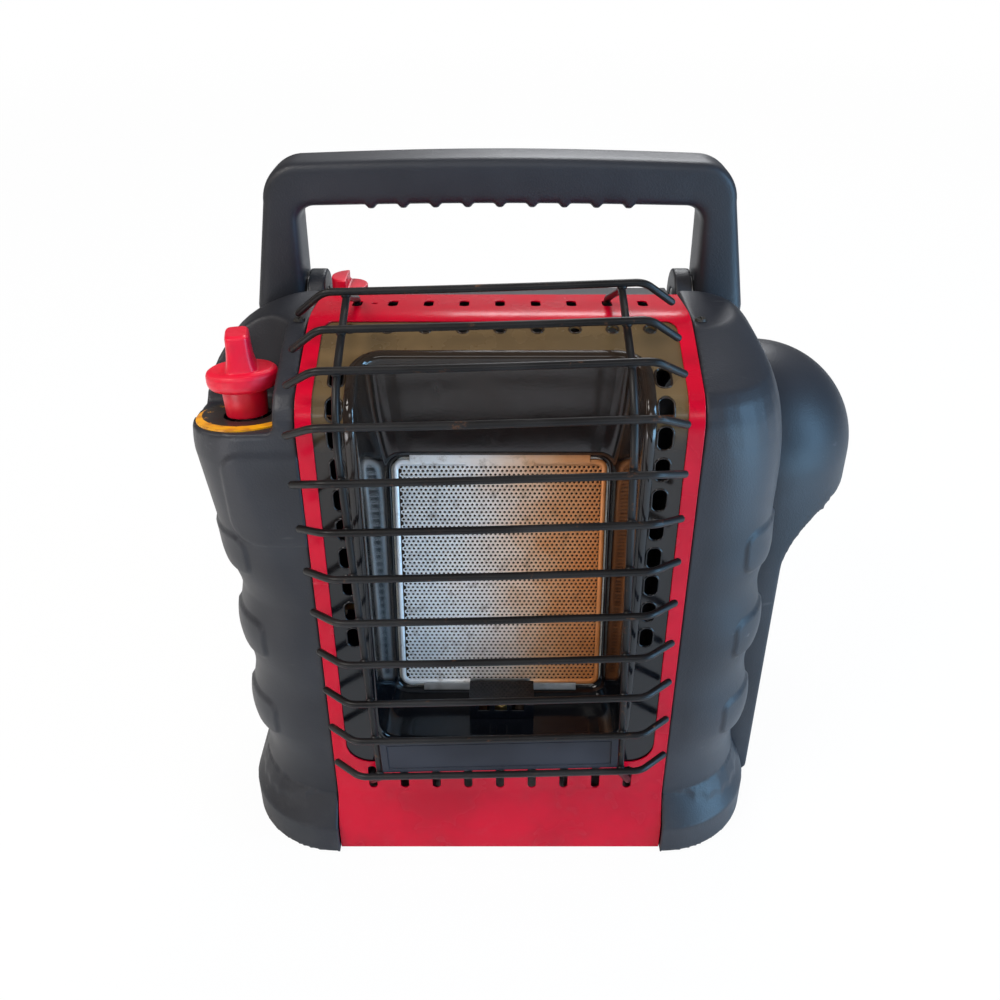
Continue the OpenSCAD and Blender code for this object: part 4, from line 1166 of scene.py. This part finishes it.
    def build(self, shop: Workshop) -> None:
        """Makes the pan, its flange, the screen and the clips."""
        self.flange(shop)
        shop.piece("flange_rims", self.slot_rims(), Slot.black_enamel, "shell", closed=False)
        pan = shop.piece("reflector_pan", [self.pan_grid()], Slot.black_enamel, "shell", "reflector",
                         closed=False)
        wall = pan.modifiers.new("wall", "SOLIDIFY")
        wall.thickness, wall.offset = 0.7 * MM, 1
        shop.piece("screen_mesh", self.screen_grids(), Slot.stainless, "shell", "burner_screen", closed=False)
        shop.piece("screen_rim", [self.rim_grid()], Slot.stainless, "shell", closed=False)
        for node in ("screen_bracket_top", "screen_bracket_bottom", "pilot_burner", "spark_electrode",
                     "pilot_hood"):
            shop.machined(node, 0.3)


# ------------------------------------------------------------------ housings

@dataclass(frozen=True)
class Relief:
    """A raised rounded rectangle with a soft edge."""

    half_w: float
    half_h: float
    radius: float
    edge: float
    lift: float

    def share(self, x: np.ndarray, z: np.ndarray) -> np.ndarray:
        """1 within it, falling to 0 over its edge; x and z are measured from its middle."""
        beyond = np.hypot(np.maximum(np.abs(x) - self.half_w, 0), np.maximum(np.abs(z) - self.half_h, 0))
        return smooth((self.radius - beyond) / self.edge)


@dataclass
class HousingShape:
    """The side housings' outline at each height, as their construction gives it."""

    sign: int
    panel_edge: float = 98.4
    width: float = 148.0
    plinth: float = 157.0
    plinth_y: float = -12.0
    crease_z: float = 12.3
    plinth_z: float = 29.5
    bend_z: float = 275.0
    bend_r: float = 20.0
    bend_rise: float = 18.79
    slope: float = 20.0
    corner_r: tuple[float, float] = (58.0, 42.0)
    top: float = 308.5
    low: float = 235.0
    round_r: float = 28.0
    swell: float = 2.0
    pitch: float = 58.5
    pod: tuple[float, float, float, float] = (0.0, 168.0, 90.0, 28.6)
    set_back: float = 1.2
    crest_z: float = 83.0
    pad_turn: float = 30.0
    pad_band: tuple[float, float] = (50.0, 218.0)
    pad: Relief = Relief(13.0, 5.0, 8.5, 2.2, 1.5)
    plate_at: tuple[float, float] = (112.0, 238.0)
    plate: Relief = Relief(12.0, 14.0, 14.5, 2.4, 1.3)

    def front(self, z: np.ndarray) -> np.ndarray:
        """Depth of the front face: plinth, slope, upright face, then the panel's turn."""
        bend = np.clip(z - self.bend_z, 0, self.bend_rise)
        slope = np.maximum(z - self.bend_z - self.bend_rise, 0) / np.tan(np.radians(self.slope))
        turned = self.set_back + self.bend_r - np.sqrt(self.bend_r ** 2 - bend ** 2) + slope
        lower = ramp(self.plinth_y, self.set_back, (z - self.crease_z) / (self.plinth_z - self.crease_z))
        return np.where(z < self.plinth_z, lower, turned)

    def half_width(self, z: np.ndarray) -> np.ndarray:
        """Distance of the outer face from the middle, with swells, knob pod and rounded top."""
        ease = smooth((215 - z) / 40)
        wave = self.swell * np.cos((z - self.crest_z) / self.pitch * 2 * np.pi) * ease
        swell = np.where(z < self.plinth_z, 0, wave)
        base = ramp(self.plinth, self.width, (z - self.crease_z) / (self.plinth_z - self.crease_z))
        fall = 1 - np.sqrt(np.clip(1 - ((z - self.low) / (self.top + 0.5 - self.low)) ** 2, 0, 1))
        fall = np.where(z > self.low, self.round_r * fall, 0)
        return base + swell + self.pod[0] * self.pod_share(z) - fall

    def pod_share(self, z: np.ndarray) -> np.ndarray:
        """How much of the knob pod's outline is reached at that height."""
        return np.clip((z - self.pod[1]) / self.pod[2], 0, 1) if self.pod[0] else np.zeros_like(z)

    def corner(self, z: np.ndarray) -> np.ndarray:
        """Radius of the front corner."""
        plain = ramp(*self.corner_r, (z - self.crease_z) / 60)
        k = self.pod_share(z)
        return plain * (1 - k) + self.pod[3] * k

    def settle(self, points: np.ndarray, normals: np.ndarray) -> np.ndarray:
        """Moves points near the outer skin onto the exact outline, and raises the finger pads.

        The outline at a height is a flat front, an arc of the corner's radius and a flat side; a
        point within a millimetre or so moves square to it.

        Args:
            points: Build millimetres.
            normals: Outward directions.

        Returns:
            The new points.
        """
        p = points * [self.sign, 1, 1]
        n = normals * [self.sign, 1, 1]
        z = p[:, 2]
        w, f, r = self.half_width(z), self.front(z), self.corner(z)
        cx, cy = w - r, f + r
        dx, dy = np.maximum(p[:, 0] - cx, 0), np.minimum(p[:, 1] - cy, 0)
        reach = np.hypot(dx, dy)
        out = np.stack([dx, dy], -1) / np.maximum(reach, 1e-9)[:, None]
        gap = reach - r
        facing = n[:, 0] * out[:, 0] + n[:, 1] * out[:, 1]
        share = smooth((1.5 - np.abs(gap)) / 0.7) * smooth((facing - 0.45) / 0.3)
        share = share * smooth((267 - z) / 6)
        shift = -gap * share
        around = np.degrees(np.arctan2(-out[:, 1], out[:, 0]))
        # finger pads on the front corner at each swell's crest
        phase = np.mod(z - self.crest_z + self.pitch / 2, self.pitch) - self.pitch / 2
        low, high = self.pad_band
        pads = self.pad.share(np.radians(around - self.pad_turn) * r, phase) * (z > low) * (z < high) * share
        # a large plate on the front below the knob
        x, height = self.plate_at
        plate = self.plate.share(p[:, 0] - x, z - height) * share * (around > 40) * (self.pod[0] > 0)
        shift = shift + self.pad.lift * pads + self.plate.lift * plate
        p[:, 0] += out[:, 0] * shift
        p[:, 1] += out[:, 1] * shift
        # the edge beside the panel and the underside are flat
        beside = smooth((1.6 - np.abs(p[:, 0] - self.panel_edge)) / 0.6) * (n[:, 0] < -0.5) * (p[:, 1] < 30)
        p[:, 0] += (self.panel_edge - p[:, 0]) * beside
        base = z.min()
        under = smooth((1.8 - np.abs(z - base)) / 0.6) * (n[:, 2] < -0.5)
        p[:, 2] += (base + 0.1 - z) * under
        return p * [self.sign, 1, 1]


@dataclass
class Housings:
    """Plastic side housings, the bay's domed cover and the rear cover."""

    shell_voxel: float = 1.5
    cover_voxel: float = 1.7
    cover_edges: tuple[float, ...] = (-7.5, 190.0, 196.0)
    louvre_z: tuple[int, int, int] = (60, 236, 16)
    louvre_half: float = 63.0
    rear: float = 158.0
    shells: dict[str, HousingShape] = field(default_factory=lambda: {
        "right": HousingShape(1),
        "left": HousingShape(-1, low=262.0, round_r=44.0, pod=(7.5, 168.0, 90.0, 28.6))})

    def hoods(self) -> list[np.ndarray]:
        """Hoods over the rear louvres: a curled section that sinks into the cover at both ends."""
        section = np.array([[-0.6, 10.8], [0.5, 10.0], [1.5, 8.7], [2.5, 7.0], [3.1, 5.6], [3.3, 4.7],
                            [3.0, 4.4], [2.6, 4.9], [2.0, 6.2], [1.0, 8.0], [-0.6, 9.4]])
        x = self.louvre_half * np.sin(np.linspace(-1, 1, 49) * np.pi / 2)
        near = np.clip((np.abs(x) - self.louvre_half + 7) / 7, 0, 1)
        swell = np.sqrt(1 - near ** 2 * 0.98)[:, None]
        first, last, step = self.louvre_z
        grids = []
        for z in range(first, last + 1, step):
            y = self.rear + section[None, :, 0] * swell
            height = z + 10 + (section[None, :, 1] - 10) * (0.35 + 0.65 * swell)
            grids.append(np.stack(np.broadcast_arrays(x[:, None], y, height), -1))
        return grids

    def level(self, points: np.ndarray, normals: np.ndarray) -> np.ndarray:
        """Flattens the bay cover's skin where it faces down near one of its lower edges."""
        for height in self.cover_edges:
            near = smooth((2.4 - np.abs(points[:, 2] - height)) / 0.7) * smooth((-normals[:, 2] - 0.3) / 0.25)
            points[:, 2] += (height - points[:, 2]) * near
        return points

    def build(self, shop: Workshop) -> None:
        """Makes the mouldings and settles the side housings on their outline."""
        for side, shape in self.shells.items():
            shell = shop.moulded(f"{side}_housing", f"{side}_shell", self.shell_voxel, 3)
            shop.reshape(shell, shape.settle)
        dome = shop.moulded("bay_cover", "bay_dome", self.cover_voxel, 6)
        shop.reshape(dome, self.level)
        shop.machined("rear_cover", 0.5)
        shop.piece("louvre_hoods", self.hoods(), Slot.charcoal_plastic, "shell")
        shop.machined("base_plate", 0.3)
        shop.machined("feet", 0.8, segments=3)


# ------------------------------------------------------------------ knob, igniter, panel and fittings

@dataclass(frozen=True)
class Spring:
    """Compression spring, wound round its own axis."""

    name: str
    node: str
    joint: str
    radius: float
    wire: float
    pitch: float
    turns: int
    start: float
    travel: float

    def path(self) -> np.ndarray:
        """The wire's middle line: a helix round the spring's own z axis."""
        a = np.linspace(0, 2 * np.pi * self.turns, 24 * self.turns + 1)
        return np.stack([self.radius * np.cos(a), self.radius * np.sin(a),
                         self.start + self.pitch * a / (2 * np.pi)], -1)

    def build(self, shop: Workshop, placed: Place) -> None:
        """Winds the spring.

        Args:
            shop: The workshop.
            placed: A function from the spring's own points to the build frame.
        """
        coil = shop.piece(self.name, [swept_tube(placed(self.path()), self.wire, 10)], Slot.steel, "shell",
                          self.node)
        ends = np.array([[0, 0, self.start - self.wire], [0, 0, self.start + 1.0]])
        foot, head = shop.seat.place(placed(ends))
        tuple(map(float, head - foot))
        tuple(map(float, foot))
        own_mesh(coil)


@dataclass
class Controls:
    """Gas knob with its dial, and the igniter button."""

    at: Triple = (-127.5, 30.0, 271.0)
    lean_back: float = 8.0
    lean_out: float = 2.0
    skirt: tuple[float, float] = (10.4, 11.2)
    flange_r: float = 17.8
    flange: tuple[float, float] = (15.6, 25.4)
    blade_top: float = 43.4
    blade_turn: float = 13.0
    knob_voxel: float = 0.42
    button_at: tuple[float, float] = (-85.0, 124.0)
    button_voxel: float = 0.45
    knob_spring: Spring = Spring("knob_coil", "knob_spring", "knob_push", radius=6.6, wire=0.8, pitch=3.3,
                                 turns=5, start=-15.0, travel=6.0)
    button_spring: Spring = Spring("igniter_coil", "igniter_spring", "igniter_press", radius=5.0, wire=0.7,
                                   pitch=3.0, turns=5, start=284.2, travel=5.0)

    def on_knob(self, local: np.ndarray) -> np.ndarray:
        """Points in the knob's leaning frame to the build frame: turned about x, then about y."""
        a, b = np.radians(self.lean_back), np.radians(self.lean_out)
        x = local[..., 0]
        y = local[..., 1] * np.cos(a) + local[..., 2] * np.sin(a)
        z = local[..., 2] * np.cos(a) - local[..., 1] * np.sin(a)
        turned = np.stack([x * np.cos(b) - z * np.sin(b), y, x * np.sin(b) + z * np.cos(b)], -1)
        return turned + np.array(self.at)

    def body_grid(self) -> np.ndarray:
        """Skirt and flange: a profile of radius against height, turned about the knob's axis."""
        r, (low, high) = self.flange_r, self.flange
        profile = np.array([[0.3, 1.2], [self.skirt[0], 1.2], [self.skirt[1], low - 0.4], [r - 2.2, low],
                            [r - 0.5, low + 1.6], [r, low + 3.6], [r, high - 2.8], [r - 0.7, high - 1.2],
                            [r - 2.6, high], [0.3, high + 0.4]])
        a = np.linspace(0, 2 * np.pi, 72, endpoint=False)
        radius, height = profile[:, :1], profile[:, 1:]
        return np.stack(np.broadcast_arrays(radius * np.cos(a), radius * np.sin(a), height), -1)

    def blade_grid(self) -> np.ndarray:
        """Grip blade: superellipses that narrow with height and flare into the flange."""
        z = np.linspace(self.flange[1] - 4, self.blade_top, 22)
        h = (z - z[0]) / (z[-1] - z[0])
        wide = 6.2 + 4.4 * np.exp(-h / 0.2) - 0.4 * h
        long = 12.4 + 2.8 * np.exp(-h / 0.35)
        close = np.sqrt(np.clip(1 - np.clip((h - 0.93) / 0.07, 0, 1) ** 2 * 0.3, 0, 1))
        a = np.linspace(0, 2 * np.pi, 64, endpoint=False)
        c = np.sign(np.cos(a)) * np.abs(np.cos(a)) ** 0.4
        s = np.sign(np.sin(a)) * np.abs(np.sin(a)) ** 0.4
        x, y = (wide * close)[:, None] * c, (long * close)[:, None] * s
        t = np.radians(self.blade_turn)
        return np.stack(np.broadcast_arrays(x * np.cos(t) - y * np.sin(t), x * np.sin(t) + y * np.cos(t),
                                            z[:, None]), -1)

    def build(self, shop: Workshop) -> None:
        """Makes the knob and the button as soft-edged mouldings, and prints the dial."""
        shop.fused("gas_knob", [self.on_knob(self.body_grid()), self.on_knob(self.blade_grid())],
                   self.knob_voxel, 5, Slot.red_plastic, "knob", "control_knob")
        shop.moulded("igniter_button", "igniter_cap", self.button_voxel, 4)
        self.knob_spring.build(shop, self.on_knob)
        self.button_spring.build(shop, lambda points: points + [*self.button_at, 0.0])
        centre = shop.seat.place(self.on_knob(np.array([0.0, 0.0, 0.8])))
        dial = DialPrint("dial_face", (0.9, 0.42, 0.01), tuple(float(c) for c in centre))
        node = shop.nodes["dial_plate"]
        node.data.materials.clear()
        node.data.materials.append(dial.material())


@dataclass
class Fittings:
    """The panel, screws and the regulator's metal parts, with their edges broken."""

    edges: dict[str, float] = field(default_factory=lambda: {
        "front_panel": 0.35, "top_screws": 0.25, "rear_screws": 0.25, "regulator_body": 0.8,
        "regulator_bracket": 0.4, "cylinder_socket": 0.5, "heat_shield": 0.2, "burner_plenum": 0.5})

    def build(self, shop: Workshop) -> None:
        """Bevels each of the pieces by its own width."""
        for node, width in self.edges.items():
            made = shop.machined(node, width)
            if node == "top_screws":
                made.data.materials[0] = CoatedWire("blackened_screw", (0.02, 0.018, 0.016)).material()


# ------------------------------------------------------------------ studio

@dataclass(frozen=True)
class Lamp:
    """A soft rectangular lamp that faces the heater."""

    place: Triple
    size: tuple[float, float]
    watts: float
    colour: Colour
    shines: bool = True

    def hang(self, name: str, aim: Triple) -> None:
        """Adds the lamp, turned to a point; one that doesn't shine gives no highlights."""
        data = bpy.data.lights.new(name, "AREA")
        data.energy, data.color, data.shape = self.watts, self.colour, "RECTANGLE"
        data.size, data.size_y = self.size
        obj = bpy.data.objects.new(name, data)
        obj.location = self.place
        obj.rotation_euler = (Vector(self.place) - Vector(aim)).to_track_quat("Z", "Y").to_euler()
        obj.visible_camera, obj.visible_glossy = False, self.shines
        bpy.context.scene.collection.objects.link(obj)


@dataclass
class Studio:
    """Camera, lamps, floor and a white background."""

    eye: Triple = (0.0, -424.0, 499.0)
    pitch: float = 31.5
    lens: float = 36.0
    floor_r: float = 8.0
    room: float = 0.13
    aim: Triple = (0.0, 0.0, 0.18)
    lamps: tuple[Lamp, ...] = (
        Lamp((-1.2, -0.9, 1.9), (0.8, 0.8), 25.0, (1.0, 0.96, 0.91)),
        Lamp((1.6, -0.6, 0.8), (0.4, 1.0), 24.0, (0.32, 0.64, 1.0)),
        Lamp((-1.9, 0.1, 0.9), (0.4, 1.0), 3.5, (1.0, 0.95, 0.9)),
        Lamp((0.1, -2.0, 1.5), (1.4, 0.4), 7.5, (1.0, 1.0, 1.0)),
        Lamp((0.3, 2.0, 1.7), (1.0, 1.0), 28.0, (0.95, 0.97, 1.0)),
        Lamp((0.0, -0.05, 2.3), (0.7, 0.7), 17.0, (1.0, 0.97, 0.93), shines=False),
        Lamp((-0.62, -0.62, 0.03), (0.3, 0.16), 1.2, (0.95, 0.92, 0.95)),
        Lamp((0.75, -0.5, 0.05), (0.5, 0.3), 6.0, (0.32, 0.66, 1.0)))

    def camera(self, seat: Seat) -> None:
        """The photograph's camera, looking down at the front."""
        data = bpy.data.cameras.new("camera")
        data.lens, data.sensor_width = self.lens, 36.0
        obj = bpy.data.objects.new("camera", data)
        obj.location = seat.place(np.array(self.eye))
        obj.rotation_euler = (math.radians(90 - self.pitch), 0, 0)
        bpy.context.scene.collection.objects.link(obj)
        bpy.context.scene.camera = obj

    def floor(self) -> None:
        """A pale round floor that shows near white to the camera and keeps the shadow."""
        a = np.linspace(0, 2 * np.pi, 64, endpoint=False)
        r = np.array([0.001, 1.0, self.floor_r])
        ring = r[:, None]
        grid = np.stack(np.broadcast_arrays(ring * np.cos(a), ring * np.sin(a), 0.0 * ring), -1)
        faces = grid_faces(len(r), len(a), True).tolist() + [list(range(len(a)))]
        mesh = bpy.data.meshes.new("floor")
        mesh.from_pydata(grid.reshape(-1, 3).tolist(), [], faces)
        obj = bpy.data.objects.new("floor", mesh)
        bpy.context.scene.collection.objects.link(obj)
        paint = Paint("floor_paper")
        matte = paint.node("ShaderNodeBsdfDiffuse", None, {"Color": (0.86, 0.86, 0.86)})
        glow = paint.node("ShaderNodeEmission", None, {"Color": (1, 1, 1), "Strength": 1.0})
        x, y, z = paint.axes()
        far = ((x * x + y * y) ** 0.5).within(0.5, 4.0)
        shown = self.seen(paint) * (far * 0.04 + 0.96)
        mixed = paint.node("ShaderNodeMixShader", None, {0: shown, 1: matte, 2: glow})
        paint.tree.links.new(mixed.output, paint.out.inputs["Surface"])
        mesh.materials.append(paint.material)
        obj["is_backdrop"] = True

    def seen(self, paint: Paint) -> Socket:
        """1 for rays from the camera and through glass, and a little for mirrored ones."""
        path = paint.node("ShaderNodeLightPath").output.node.outputs
        names = ("Is Camera Ray", "Is Glossy Ray", "Is Transmission Ray")
        camera, glossy, glass = (Socket(paint, path[name]) for name in names)
        return camera + glossy * 0.1 + glass

    def sky(self) -> None:
        """A plain white surround: full white to the camera, softer as light."""
        world = bpy.data.worlds.new("surround")
        world.use_nodes = True
        bpy.context.scene.world = world
        tree = world.node_tree
        tree.nodes.clear()
        out = tree.nodes.new("ShaderNodeOutputWorld")
        light, white, mix, path = (tree.nodes.new(kind) for kind in (
            "ShaderNodeBackground", "ShaderNodeBackground", "ShaderNodeMixShader", "ShaderNodeLightPath"))
        light.inputs["Strength"].default_value = self.room
        light.inputs["Color"].default_value = (1, 1, 1, 1)
        white.inputs["Color"].default_value = (1, 1, 1, 1)
        tree.links.new(path.outputs["Is Camera Ray"], mix.inputs[0])
        tree.links.new(light.outputs[0], mix.inputs[1])
        tree.links.new(white.outputs[0], mix.inputs[2])
        tree.links.new(mix.outputs[0], out.inputs["Surface"])

    def build(self, seat: Seat) -> None:
        """Sets the whole studio and the plain view transform."""
        self.camera(seat)
        for i, lamp in enumerate(self.lamps):
            lamp.hang(f"lamp_{i}", self.aim)
        self.floor()
        self.sky()
        bpy.context.scene.view_settings.view_transform = "Standard"


def corners() -> list[list[float]]:
    """The shown object's box as plain lists."""
    return [[float(c) for c in corner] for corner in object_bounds()]


def main() -> None:
    """Builds the heater's looks piece by piece."""
    logging.basicConfig(level=logging.INFO, format="%(name)s %(message)s")
    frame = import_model()
    shop = Workshop(frame)
    Studio().build(shop.seat)
    shop.dress_rest()
    for part in (WireGuard(), CarryHandle(), Burner(), Housings(), Controls(), Fittings()):
        part.build(shop)
        log.info("%s is built", type(part).__name__)


if __name__ == "__main__":
    main()
